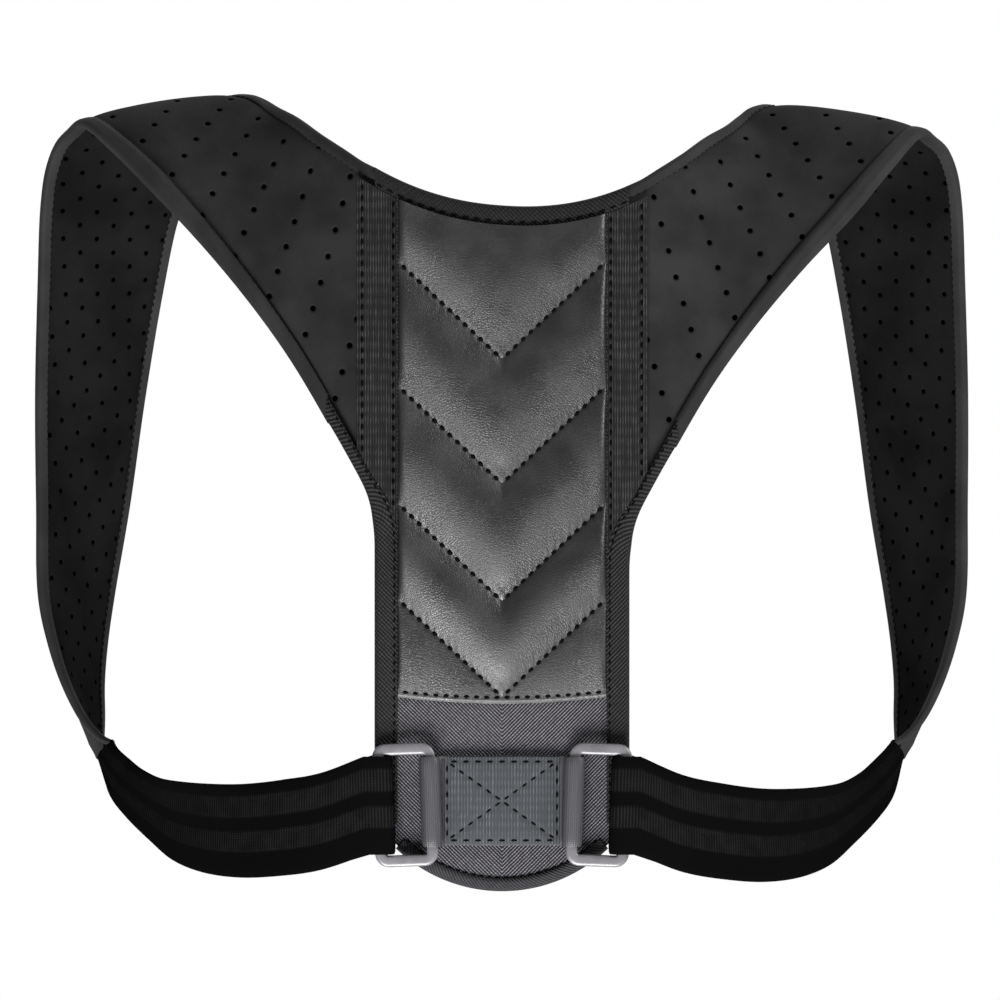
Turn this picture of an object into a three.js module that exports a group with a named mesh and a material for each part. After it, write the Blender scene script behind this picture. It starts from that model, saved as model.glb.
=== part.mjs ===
// Posture corrector, worn form. Millimetres: x across, y forward (the wearer faces +y), z up.
// The origin is the shoulder seat: on the centre line, over the middle of the shoulders, at the height
// of the straps' inner face where they rest there.
import * as THREE from 'three';

// Where the worn form lies, from the seat
const backDepth = 62; // back to the panel's outer face
const chestDepth = 64.5; // forward to the middle of a strap on the chest
const crestSpan = 143; // centre line to the middle of a strap on the shoulder
const sideSpan = 186; // centre line to the middle of a strap where it is widest
const joinLevel = 268; // down to the seam where the elastic starts
const sideSag = 21.4; // how far the elastic dips on its way to the ring
const rightDrop = 11; // how much lower the right shoulder blade is worn
const rightPull = 1; // how much nearer the centre the right strap hangs on the chest
const leftSwing = 4.5; // degrees that the left strap turns further forward on its way down the chest
const rightSag = 2; // how much further the right elastic dips

// Straps
const strapWidth = 70;
const strapThick = 5.2; // in the padded middle
const edgeThick = 4; // along the bound edges
const elasticWidth = 39;
const elasticThick = 1.6;
const seamHeight = 138.8; // where a strap fans out and meets the panel
const strapBow = 6.5; // the most that the middle of a strap bows outward between its edges

// Bound edges
const bindThick = 1;
const bindGap = 0.5;
const armReach = 7; // how far a binding reaches onto each face
const neckReach = 4.6;
const sideReach = 7.8;
const neckTopReach = 6.4;
const pipingReach = 4;

// Back panel
const panelWidth = 102.2; // over the side bindings
const panelThick = 5.2;
const neckLevel = 38.4; // seat down to the middle of the neckline
const neckRise = 11.2; // how far the neckline climbs to the seams
const neckPower = 2.2; // how late it climbs
const neckTilt = 0.64; // its share of the right drop at the right seam
const flapLevel = 316.8; // seat down to the flap's lowest point
const flapRadius = 61.4;

// Quilted pad and seam tapes
const hemLevel = 241.5; // seat down to the middle of the pad's hem
const hemSag = 2.4;
const padBase = 1.2; // thickness where it is stitched down
const padPuff = 3.4; // how far a channel stands above that
const chevronDrop = 39; // from a chevron's ends to its point
const chevronPoints = [0.28, 0.54, 0.785, 0.985]; // shares of the pad's length
const tapeWidth = 16.2;
const tapeThick = 1;

// Rings and the folded webbing that holds them
const ringLevel = 281.4; // seat down to a ring's middle
const ringSpan = 38.6; // centre line to a ring's middle
const ringWidth = 25.2;
const ringHeight = 49;
const ringBar = 4.6;
const ringThick = 4;
const ringStand = 6.2; // the ring's middle plane in front of the panel
const ringLean = 2; // degrees that its top leans outward
const webWidth = 35.6;
const webThick = 1.4;
const webLift = 1.4; // how much higher than the rings the webbing sits
const patchWidth = 45.6;
const patchHeight = 35;
const patchThick = 1.2;
const foldRadius = 3.2; // middle of the elastic, round the outer bar
const tailLength = 42; // elastic turned back behind itself
const hookLength = 26;
const hookThick = 1.1;

const gap = 0.3; // between pieces that touch
const stepsPerRow = 2; // loft stations for each row of the tables

const sides = [
  { name: 'left', sign: -1, drop: 0, pull: 0, swing: leftSwing, sag: sideSag },
  { name: 'right', sign: 1, drop: rightDrop, pull: rightPull, swing: 0, sag: sideSag + rightSag },
];

// The strap fans out from the seam to the shoulder. across, forward and rise run from 0 at the seam to 1 at
// the crest, and narrow from the seam's height to the strap's width. turn and tilt, in degrees, aim the line
// from the arm edge to the neck edge: turn swings it forward, tilt lifts it. neckDrop and armDrop are each
// edge's share of the side's drop, and bow is the share of strapBow.
const yokeRows = [
  { across: 0, forward: 0, rise: 0, narrow: 0, turn: 25, tilt: 90, neckDrop: 0.64, armDrop: 0.9, bow: 0 },
  { across: 0.075, forward: 0.015, rise: 0.09, narrow: 0.17, turn: 25, tilt: 89, neckDrop: 0.66, armDrop: 0.88, bow: 0 },
  { across: 0.174, forward: 0.06, rise: 0.223, narrow: 0.41, turn: 25, tilt: 86, neckDrop: 0.69, armDrop: 0.87, bow: 0 },
  { across: 0.316, forward: 0.16, rise: 0.396, narrow: 0.686, turn: 29, tilt: 80.5, neckDrop: 0.71, armDrop: 0.87, bow: 0 },
  { across: 0.466, forward: 0.3, rise: 0.56, narrow: 0.873, turn: 38, tilt: 70, neckDrop: 0.72, armDrop: 0.9, bow: 0 },
  { across: 0.624, forward: 0.47, rise: 0.71, narrow: 1, turn: 40, tilt: 53.5, neckDrop: 0.7, armDrop: 0.93, bow: 0.1 },
  { across: 0.763, forward: 0.64, rise: 0.838, narrow: 1, turn: 39, tilt: 35, neckDrop: 0.62, armDrop: 0.95, bow: 0.2 },
  { across: 0.888, forward: 0.806, rise: 0.94, narrow: 1, turn: 29.5, tilt: 20.5, neckDrop: 0.46, armDrop: 0.66, bow: 0.3 },
  { across: 1, forward: 1, rise: 1, narrow: 1, turn: 19, tilt: 11, neckDrop: 0.36, armDrop: 0.36, bow: 0.3 },
];

// Down the chest. across runs from 0 at the crest to 1 at the widest, forward from 0 at the seat line to 1 at
// chestDepth, fall from 0 at the crest to 1 at joinLevel, narrow from the strap's width to the elastic's.
const chestRows = [
  { across: 0.175, forward: 0.217, fall: 0.015, narrow: 0, turn: 20, tilt: 8, drop: 0.3, bow: 0.3 },
  { across: 0.33, forward: 0.395, fall: 0.041, narrow: 0, turn: 22.5, tilt: 4, drop: 0.2, bow: 0.25 },
  { across: 0.475, forward: 0.543, fall: 0.084, narrow: 0.03, turn: 27, tilt: 1, drop: 0.1, bow: 0.2 },
  { across: 0.61, forward: 0.682, fall: 0.141, narrow: 0.08, turn: 35, tilt: -1, drop: 0.04, bow: 0.15 },
  { across: 0.73, forward: 0.837, fall: 0.254, narrow: 0.16, turn: 40, tilt: -1, drop: 0, bow: 0.1 },
  { across: 0.864, forward: 0.992, fall: 0.431, narrow: 0.235, turn: 46.5, tilt: 1, drop: 0, bow: 0.1 },
  { across: 0.94, forward: 1, fall: 0.609, narrow: 0.315, turn: 53.5, tilt: 0, drop: 0, bow: 0.1 },
  { across: 1, forward: 0.93, fall: 0.757, narrow: 0.525, turn: 58, tilt: -3, drop: 0, bow: 0.1 },
  { across: 0.977, forward: 0.871, fall: 0.83, narrow: 0.69, turn: 63, tilt: -5, drop: 0, bow: 0.15 },
  { across: 0.91, forward: 0.806, fall: 0.894, narrow: 0.87, turn: 69.5, tilt: -5, drop: 0, bow: 0.28 },
  { across: 0.795, forward: 0.721, fall: 0.949, narrow: 0.96, turn: 80, tilt: -4, drop: 0, bow: 0.5 },
  { across: 0.698, forward: 0.636, fall: 0.982, narrow: 1, turn: 91, tilt: -9, drop: 0, bow: 0.6 },
  { across: 0.618, forward: 0.535, fall: 1, narrow: 1, turn: 100, tilt: -17, drop: 0, bow: 0.5 },
];

// Under the arm to the ring. across and back run from 0 at the join to 1 at the ring, sag is the share of
// sideSag below the straight line between the two.
const elasticRows = [
  { across: 0.028, back: 0.085, sag: 0.25, turn: 105, tilt: -24.5, bow: 0.3 },
  { across: 0.071, back: 0.175, sag: 0.47, turn: 110, tilt: -28.5, bow: 0.15 },
  { across: 0.135, back: 0.297, sag: 0.67, turn: 108, tilt: -36, bow: 0 },
  { across: 0.22, back: 0.411, sag: 0.865, turn: 105, tilt: -46.5, bow: 0 },
  { across: 0.301, back: 0.5, sag: 0.985, turn: 103, tilt: -61, bow: 0 },
  { across: 0.41, back: 0.604, sag: 1, turn: 103, tilt: -73, bow: 0 },
  { across: 0.544, back: 0.718, sag: 0.91, turn: 106, tilt: -81, bow: 0 },
  { across: 0.691, back: 0.845, sag: 0.7, turn: 110, tilt: -86, bow: 0 },
  { across: 0.845, back: 0.949, sag: 0.42, turn: 110, tilt: -88.5, bow: 0 },
];

// Between the two bound edges of a strap: how far across, and how much of the padding is there.
const padding = [
  { across: 0, fill: 0 },
  { across: 0.25, fill: 0.8 },
  { across: 0.5, fill: 1 },
  { across: 0.75, fill: 0.8 },
  { across: 1, fill: 0 },
];

// Worked out from the sizes above
const bindGrow = bindGap + bindThick; // a bound edge stands this far outside its core
const coreHalf = panelWidth / 2 - bindGrow;
const seamSpan = coreHalf + gap;
const panelMiddle = panelThick / 2 - backDepth;
const padHalf = coreHalf - sideReach - gap / 2; // the pad fills the panel between its side bindings
const leftSeamTop = neckRise - neckLevel;
const seamMiddle = leftSeamTop - seamHeight / 2;
const crestRise = strapThick / 2;
const ringPlane = -backDepth - ringStand;
const ringEdge = ringSpan + ringWidth / 2;
const frontLayer = ringPlane - ringThick / 2 - gap - elasticThick / 2;
const ringEntry = ringEdge + foldRadius;
const bowSlope = 2.4; // slope of a bowed strap at its edges, in bows for each width

const mix = (a, b, share) => a + (b - a) * share;
const radians = THREE.MathUtils.degToRad;
const at = (x, y, z) => new THREE.Vector3(x, y, z);
const middleOf = (a, b) => a.clone().lerp(b, 0.5);

function material(name, color, roughness, metalness = 0) {
  return new THREE.MeshStandardMaterial({ name, color, roughness, metalness });
}

const neoprene = material('perforated neoprene', 0x2b2b2b, 0.85);
const leather = material('quilted leather', 0x4a4a4a, 0.45);
const twill = material('woven twill', 0x3c3b40, 0.8);
const tapeCloth = material('woven tape', 0x343434, 0.8);
const elasticCloth = material('ribbed elastic', 0x171717, 0.85);
const webbing = material('webbing', 0x55585a, 0.75);
const plastic = material('satin plastic', 0x77757a, 0.4);

// Height of the neckline's bound edge over the panel.
function neckline(x) {
  const share = x / seamSpan;
  return neckRise * Math.abs(share) ** neckPower - neckLevel - (neckTilt * rightDrop * (1 + share)) / 2;
}

// A closed solid between two grids of points, row by row.
function slab(outer, inner) {
  const positions = [];
  const rows = outer.length;
  const last = outer[0].length - 1;
  const quad = (a, b, c, d) => {
    for (const p of [a, b, c, a, c, d]) positions.push(p.x, p.y, p.z);
  };
  for (let row = 0; row + 1 < rows; row += 1) {
    const next = row + 1;
    for (let k = 0; k < last; k += 1) {
      quad(outer[row][k], outer[next][k], outer[next][k + 1], outer[row][k + 1]);
      quad(inner[row][k], inner[row][k + 1], inner[next][k + 1], inner[next][k]);
    }
    quad(outer[row][0], inner[row][0], inner[next][0], outer[next][0]);
    quad(outer[row][last], outer[next][last], inner[next][last], inner[row][last]);
  }
  for (let k = 0; k < last; k += 1) {
    quad(outer[0][k], outer[0][k + 1], inner[0][k + 1], inner[0][k]);
    quad(outer[rows - 1][k], inner[rows - 1][k], inner[rows - 1][k + 1], outer[rows - 1][k + 1]);
  }
  return facingOut(positions);
}

// A geometry of loose triangles whose faces point out, whichever side it was built on.
function facingOut(positions) {
  let volume = 0;
  const [a, b, c] = [at(0, 0, 0), at(0, 0, 0), at(0, 0, 0)];
  for (let i = 0; i < positions.length; i += 9) {
    a.fromArray(positions, i);
    b.fromArray(positions, i + 3);
    c.fromArray(positions, i + 6);
    volume += a.dot(b.cross(c));
  }
  if (volume < 0) {
    for (let i = 0; i < positions.length; i += 9) {
      const second = positions.slice(i + 3, i + 6);
      positions.splice(i + 3, 6, ...positions.slice(i + 6, i + 9), ...second);
    }
  }
  const geometry = new THREE.BufferGeometry();
  geometry.setAttribute('position', new THREE.Float32BufferAttribute(positions, 3));
  geometry.computeVertexNormals();
  return geometry;
}

function mesh(name, geometry, finish) {
  const made = new THREE.Mesh(geometry, finish);
  made.name = name;
  return made;
}

// The direction from the arm edge to the neck edge.
function aim(side, row) {
  const [turn, tilt] = [radians(row.turn), radians(row.tilt)];
  return at(-side.sign * Math.cos(tilt) * Math.cos(turn), Math.cos(tilt) * Math.sin(turn), Math.sin(tilt));
}

// Both edges of a strap of this width at a row.
function edgePair(side, row, middle, width) {
  const half = aim(side, row).multiplyScalar(width / 2);
  return { arm: middle.clone().sub(half), neck: middle.clone().add(half), bow: row.bow * strapBow };
}

function yokePairs(side) {
  return yokeRows.map((row) => {
    const middle = at(
      side.sign * mix(seamSpan, crestSpan, row.across),
      mix(panelMiddle, 0, row.forward),
      mix(seamMiddle, crestRise, row.rise),
    );
    const pair = edgePair(side, row, middle, mix(seamHeight, strapWidth, row.narrow));
    pair.neck.z -= row.neckDrop * side.drop;
    pair.arm.z -= row.armDrop * side.drop;
    return pair;
  });
}

function chestPairs(side) {
  return chestRows.map((row) => {
    const middle = at(
      side.sign * mix(crestSpan, sideSpan - side.pull, row.across),
      chestDepth * row.forward,
      mix(crestRise, -joinLevel, row.fall) - row.drop * side.drop,
    );
    const swung = { ...row, turn: row.turn + side.swing * row.fall };
    return edgePair(side, swung, middle, mix(strapWidth, elasticWidth, row.narrow));
  });
}

// Matching points along both edges of a smooth strap through the pairs, and how far it bows between them.
function smoothEdges(pairs) {
  const steps = (pairs.length - 1) * stepsPerRow;
  const arm = new THREE.CatmullRomCurve3(pairs.map((pair) => pair.arm), false, 'centripetal');
  const neck = new THREE.CatmullRomCurve3(pairs.map((pair) => pair.neck), false, 'centripetal');
  const bow = Array.from({ length: steps + 1 }, (_, i) => {
    const row = Math.min(Math.floor(i / stepsPerRow), pairs.length - 2);
    return mix(pairs[row].bow, pairs[row + 1].bow, i / stepsPerRow - row);
  });
  return { arm: arm.getPoints(steps), neck: neck.getPoints(steps), bow };
}

// The direction along a line of points at one of them.
function along(points, index) {
  const before = points[Math.max(index - 1, 0)];
  const after = points[Math.min(index + 1, points.length - 1)];
  return after.clone().sub(before).normalize();
}

// The outward normal of a strap at each station.
function outward(side, edges) {
  const middles = edges.arm.map((point, i) => middleOf(point, edges.neck[i]));
  return middles.map((point, i) => {
    const across = edges.neck[i].clone().sub(edges.arm[i]);
    return across.cross(along(middles, i)).multiplyScalar(-side.sign).normalize();
  });
}

// The padding starts where the bindings end, along the same lines across the strap, and bows outward.
function strapCore(armFrames, neckFrames, normals, bow) {
  const face = (sense) =>
    armFrames.map((arm, i) => {
      const neck = neckFrames[i];
      const start = arm.point.clone().addScaledVector(arm.inward, armReach + bindGap);
      const end = neck.point.clone().addScaledVector(neck.inward, neckReach + bindGap);
      const edgeHeight = Math.min(arm.inward.dot(normals[i]) * armReach, bow[i]);
      const placed = (frame, point, fill, rise) => {
        const normal = frame.normal.clone().lerp(normals[i], fill).normalize();
        const half = mix(edgeThick, strapThick, fill) / 2;
        return point.clone().addScaledVector(normals[i], rise).addScaledVector(normal, sense * half);
      };
      const padded = padding.map(({ across, fill }) =>
        placed(across < 0.5 ? arm : neck, start.clone().lerp(end, across), fill,
          4 * across * (1 - across) * (bow[i] - edgeHeight)));
      return [placed(arm, arm.point, 0, 0), ...padded, placed(neck, neck.point, 0, 0)];
    });
  return slab(face(1), face(-1));
}

// Frames along one edge of the core, which stops short of the bound edge: the point, the way in over the face,
// and the face's normal. The way in follows the line across the strap, rises with its bow, and is longer than
// 1 where that line is slanted to the edge.
function edgeFrames(points, others, normals, bow) {
  return points.map((edge, i) => {
    const across = others[i].clone().sub(edge);
    const slope = (bowSlope * bow[i]) / across.length();
    across.normalize();
    const slant = across.clone().cross(along(points, i)).length();
    const inward = across.clone().addScaledVector(normals[i], slope).normalize();
    const normal = normals[i].clone().addScaledVector(across, -slope).normalize();
    inward.divideScalar(Math.max(slant, 0.4));
    return { point: edge.clone().addScaledVector(inward, bindGrow), normal, inward };
  });
}

// Moves the first frame along its path, which keeps a gap to the piece before it.
function trimmed(frames, distance) {
  const way = frames[1].point.clone().sub(frames[0].point).setLength(distance);
  return [{ ...frames[0], point: frames[0].point.clone().add(way) }, ...frames.slice(1)];
}

// A folded tape round an edge: it reaches in over both faces of a core of this half thickness.
function foldedTape(frames, reach, coreThickHalf) {
  const near = coreThickHalf + bindGap;
  const far = near + bindThick;
  const place = (frame, inwards, lift) =>
    frame.point.clone().addScaledVector(frame.inward, inwards).addScaledVector(frame.normal, lift);
  const inside = [[reach, near], [0, near], [-bindGap, near / 2], [-bindGap, -near / 2], [0, -near], [reach, -near]];
  const outside = [[reach, far], [0, far], [-bindGrow, far / 2], [-bindGrow, -far / 2], [0, -far], [reach, -far]];
  const sweep = (profile) => frames.map((frame) => profile.map(([inwards, lift]) => place(frame, inwards, lift)));
  return slab(sweep(outside), sweep(inside));
}

// A plate in the plane of the panel: an outline in x and z, from its back face forward of the seat line.
function plate(outline, backFace, thick) {
  const shape = new THREE.Shape(outline.map(([x, z]) => new THREE.Vector2(x, z)));
  const geometry = new THREE.ExtrudeGeometry(shape, { depth: thick, bevelEnabled: false });
  geometry.rotateX(Math.PI / 2);
  geometry.translate(0, backFace, 0);
  return geometry;
}

// Points of an arc about the flap's centre, from the left side of the panel to the right.
function flapArc(radius, halfWidth, count) {
  const end = Math.asin(halfWidth / radius);
  return Array.from({ length: count + 1 }, (_, i) => {
    const angle = mix(-end, end, i / count);
    return [radius * Math.sin(angle), flapRadius - flapLevel - radius * Math.cos(angle)];
  });
}

function spread(from, to, count) {
  return Array.from({ length: count + 1 }, (_, i) => mix(from, to, i / count));
}

function backPanel() {
  const top = spread(coreHalf, -coreHalf, 16).map((x) => [x, neckline(x) - bindGrow]);
  return mesh('back_panel', plate([...flapArc(flapRadius - bindGrow, coreHalf, 14), ...top],
    panelThick - backDepth, panelThick), twill);
}

// The pad's channels run in chevrons, so its rows bend from the neckline through each chevron to the hem.
function chevronPad() {
  const top = (x) => neckline(x) - bindGrow - neckTopReach - gap;
  const length = hemLevel + top(0);
  const half = padHalf;
  const hem = (x) => hemSag * (x / half) ** 2 - hemLevel;
  const chevrons = chevronPoints.map((share) => (x) => top(0) - share * length + (chevronDrop * Math.abs(x)) / half);
  const lines = [top, ...chevrons, hem];
  const columns = spread(-half, half, 12);
  const rowsEach = 5;
  const rows = [];
  for (let band = 0; band + 1 < lines.length; band += 1) {
    for (let step = band === 0 ? 0 : 1; step <= rowsEach; step += 1) rows.push({ band, share: step / rowsEach });
  }
  const floor = -backDepth - gap;
  const grid = (rise) =>
    rows.map(({ band, share }) =>
      columns.map((x) => {
        const [upper, lower] = [lines[band](x), lines[band + 1](x)];
        const room = Math.min(1, (upper - lower) / (chevronDrop / 2));
        const side = Math.min(1, (half - Math.abs(x)) / (half / 6));
        const puff = padPuff * Math.sin(Math.PI * share) ** 0.7 * room * Math.sqrt(side);
        return at(x, floor - rise * (padBase + puff), mix(upper, lower, share));
      }),
    );
  return mesh('chevron_pad', slab(grid(1), grid(0)), leather);
}

// A ribbed tape over the seam between panel and strap, cut off along the bound edge below it.
function seamTape(side, boundEdge) {
  const inner = padHalf + gap;
  const top = (x) => neckline(x) - bindGrow - neckTopReach - gap;
  const xs = spread(inner, inner + tapeWidth, 4);
  const lower = xs.map((x) => [side.sign * x, heightOver(boundEdge, side.sign * x) + 2 * gap]);
  const upper = xs.map((x) => [side.sign * x, top(side.sign * x)]).reverse();
  return mesh(`seam_tape_${side.name}`, plate([...lower, ...upper], -backDepth - gap, tapeThick), tapeCloth);
}

// The greatest height of a line of points over a place across the panel.
function heightOver(points, x) {
  let height = -Infinity;
  for (let i = 0; i + 1 < points.length; i += 1) {
    const [a, b] = [points[i], points[i + 1]];
    const share = (x - a.x) / (b.x - a.x);
    if (share >= 0 && share <= 1) height = Math.max(height, mix(a.z, b.z, share));
  }
  return height;
}

function neckBinding() {
  const frames = spread(-coreHalf, coreHalf, 16).map((x) => ({
    point: at(x, panelMiddle, neckline(x) - bindGrow),
    normal: at(0, -1, 0),
    inward: at(0, 0, -1),
  }));
  return mesh('neck_binding', foldedTape(frames, neckTopReach, panelThick / 2), tapeCloth);
}

function flapPiping() {
  const centre = at(0, panelMiddle, flapRadius - flapLevel);
  const frames = flapArc(flapRadius - bindGrow, coreHalf - sideReach - gap, 14).map(([x, z]) => {
    const point = at(x, panelMiddle, z);
    return { point, normal: at(0, -1, 0), inward: centre.clone().sub(point).normalize() };
  });
  return mesh('flap_piping', foldedTape(frames, pipingReach, panelThick / 2), twill);
}

// Frames up the side of the panel and out along the arm edge of the strap, for one tape.
function sideTapeFrames(side, strapFrames) {
  const bottom = flapArc(flapRadius - bindGrow, coreHalf, 1)[0][1];
  const top = strapFrames[0].point.z;
  const flat = at(0, -1, 0);
  const up = spread(bottom, top - sideReach, 4).map((z) => ({
    point: at(side.sign * coreHalf, panelMiddle, z),
    normal: flat,
    inward: at(-side.sign, 0, 0),
  }));
  // It leaves the plane of the panel little by little.
  const out = strapFrames.map((frame, i) => {
    const share = (i / (strapFrames.length - 1)) ** 2;
    const point = frame.point.clone().setY(mix(panelMiddle, frame.point.y, share));
    const inward = frame.inward.clone().setY(frame.inward.y * share);
    return { point, normal: flat.clone().lerp(frame.normal, share).normalize(), inward };
  });
  return [...up, ...out];
}

function ring(side) {
  const half = { width: ringWidth / 2, height: ringHeight / 2 };
  const shape = roundedRectangle(half.width, half.height, ringBar * 0.8);
  shape.holes.push(roundedRectangle(half.width - ringBar, half.height - ringBar, ringBar * 0.25));
  const bevel = ringThick / 5;
  const geometry = new THREE.ExtrudeGeometry(shape, {
    depth: ringThick - 2 * bevel,
    bevelThickness: bevel,
    bevelSize: bevel,
    bevelOffset: -bevel,
    bevelSegments: 1,
    curveSegments: 3,
  });
  geometry.translate(0, 0, bevel - ringThick / 2);
  const made = mesh(`ring_${side.name}`, geometry, plastic);
  made.position.set(side.sign * ringSpan, ringPlane, -ringLevel);
  made.rotation.set(Math.PI / 2, 0, 0);
  made.rotateZ(-side.sign * radians(ringLean));
  return made;
}

function roundedRectangle(x, y, radius) {
  const shape = new THREE.Shape();
  shape.moveTo(x - radius, -y);
  shape.absarc(x - radius, radius - y, radius, -Math.PI / 2, 0);
  shape.absarc(x - radius, y - radius, radius, 0, Math.PI / 2);
  shape.absarc(radius - x, y - radius, radius, Math.PI / 2, Math.PI);
  shape.absarc(radius - x, radius - y, radius, Math.PI, 1.5 * Math.PI);
  shape.closePath();
  return shape;
}

// How far a ring's lean moves a point outward, from its height.
function leanAt(z) {
  return (z + ringLevel) * Math.tan(radians(ringLean));
}

// A folded band of webbing, round the inner bar of a ring and flat under the patch. Each point of its route
// has its place across, its depth in front of the panel, and how much of the ring's lean it takes.
function anchorWebbing(side) {
  const innerEdge = ringSpan - ringWidth / 2;
  const clear = gap + webThick / 2;
  const front = ringStand + ringThick / 2 + clear;
  const behind = ringStand - ringThick / 2 - clear;
  const [lowLayer, highLayer] = [gap + webThick / 2, 2 * gap + 1.5 * webThick];
  const climb = innerEdge - clear;
  const tip = innerEdge + ringBar + clear;
  const route = [
    { across: gap / 2, depth: highLayer, lean: 0 },
    { across: climb - webThick, depth: highLayer, lean: 0 },
    { across: climb, depth: highLayer + webThick, lean: 0.8 },
    { across: climb, depth: front - webThick, lean: 1 },
    { across: climb + webThick, depth: front, lean: 1 },
    { across: tip - webThick, depth: front, lean: 1 },
    { across: tip, depth: front - webThick, lean: 1 },
    { across: tip, depth: behind + webThick, lean: 1 },
    { across: tip - webThick, depth: behind, lean: 1 },
    { across: climb, depth: behind, lean: 1 },
    { across: climb - 3 * webThick, depth: lowLayer, lean: 0 },
    { across: gap / 2, depth: lowLayer, lean: 0 },
  ];
  const heights = [webLift - ringLevel - webWidth / 2, webLift - ringLevel + webWidth / 2];
  const centres = route.map((step) => at(side.sign * step.across, -backDepth - step.depth, 0));
  const face = (sense) =>
    route.map((step, i) => {
      const way = along(centres, i);
      const ahead = along(centres.slice(i, i + 2), 0);
      const miter = i === 0 || i === route.length - 1 ? 1 : Math.max(0.6, way.dot(ahead));
      const offset = at(-way.y, way.x, 0).multiplyScalar((sense * webThick) / 2 / miter);
      return heights.map((z) =>
        centres[i].clone().add(offset).add(at(side.sign * step.lean * leanAt(z), 0, z)));
    });
  return mesh(`anchor_webbing_${side.name}`, slab(face(1), face(-1)), webbing);
}

function anchorPatch() {
  const geometry = new THREE.BoxGeometry(patchWidth, patchThick, patchHeight);
  const made = mesh('anchor_patch', geometry, webbing);
  made.position.set(0, -backDepth - 3 * gap - 2 * webThick - patchThick / 2, webLift - ringLevel);
  return made;
}

// Both edges of the elastic: under the arm, over the ring's outer bar, and back behind itself.
function elasticRoute(side, join) {
  const start = middleOf(join.arm, join.neck);
  const entry = at(side.sign * ringEntry, frontLayer, -ringLevel);
  const rows = elasticRows.map((row) => {
    const middle = at(
      mix(start.x, entry.x, row.across),
      mix(start.y, entry.y, row.back),
      mix(start.z, entry.z, row.across) - side.sag * row.sag,
    );
    return edgePair(side, row, middle, elasticWidth);
  });
  const upright = (across, y) => {
    const [high, low] = [elasticWidth / 2 - ringLevel, -elasticWidth / 2 - ringLevel];
    return {
      arm: at(side.sign * (across + leanAt(high)), y, high),
      neck: at(side.sign * (across + leanAt(low)), y, low),
      bow: 0,
    };
  };
  const under = smoothEdges([join, ...rows, upright(ringEntry, frontLayer)]);
  const foldSpan = ringEdge - ringBar + gap;
  const fold = spread(0, Math.PI, 6).map((angle) =>
    upright(foldSpan - foldRadius * Math.sin(angle), frontLayer + foldRadius * (1 - Math.cos(angle))));
  const behindBar = frontLayer + 2 * foldRadius;
  const route = { arm: [...under.arm], neck: [...under.neck], bow: [...under.bow] };
  for (const pair of [...fold, upright(ringEdge, behindBar)]) {
    route.arm.push(pair.arm);
    route.neck.push(pair.neck);
    route.bow.push(pair.bow);
  }
  return { route, under };
}

// Where the turned-back tail and the fastening lie: a layer behind the elastic, from one distance before the
// ring to another.
function layerBehind(under, normals, from, to, depth) {
  const layer = { arm: [], neck: [], bow: [], normals: [] };
  const stations = under.arm.map((arm, i) => ({ arm, neck: under.neck[i], normal: normals[i] })).reverse();
  let gone = 0;
  const wanted = spread(from, to, 5);
  for (let i = 0; i + 1 < stations.length; i += 1) {
    const [near, far] = [stations[i], stations[i + 1]];
    const step = middleOf(near.arm, near.neck).distanceTo(middleOf(far.arm, far.neck));
    while (wanted.length && wanted[0] <= gone + step) {
      const share = (wanted.shift() - gone) / step;
      const normal = near.normal.clone().lerp(far.normal, share).normalize();
      layer.arm.push(near.arm.clone().lerp(far.arm, share).addScaledVector(normal, -depth));
      layer.neck.push(near.neck.clone().lerp(far.neck, share).addScaledVector(normal, -depth));
      layer.bow.push(0);
      layer.normals.push(normal);
    }
    gone += step;
  }
  return layer;
}

function band(edges, normals, thick, inset = 0) {
  const face = (sense) =>
    edges.arm.map((point, i) => {
      const neck = edges.neck[i];
      const share = inset / point.distanceTo(neck);
      return [share, 0.5, 1 - share].map((place) =>
        point.clone().lerp(neck, place).addScaledVector(normals[i],
          (sense * thick) / 2 + 4 * place * (1 - place) * edges.bow[i]));
    });
  return slab(face(1), face(-1));
}

function sideStrap(side, join) {
  const { route, under } = elasticRoute(side, join);
  const underNormals = outward(side, under);
  const hookDepth = elasticThick / 2 + gap + hookThick / 2;
  const tail = layerBehind(under, underNormals, tailLength / 5, tailLength, 2 * hookDepth);
  route.arm.push(...tail.arm);
  route.neck.push(...tail.neck);
  route.bow.push(...tail.bow);
  const hook = layerBehind(under, underNormals, tailLength / 4, tailLength / 4 + hookLength, hookDepth);
  return [
    mesh(`side_strap_${side.name}`, band(route, outward(side, route), elasticThick), elasticCloth),
    mesh(`hook_tab_${side.name}`, band(hook, hook.normals, hookThick, elasticWidth / 12), tapeCloth),
  ];
}

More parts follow.
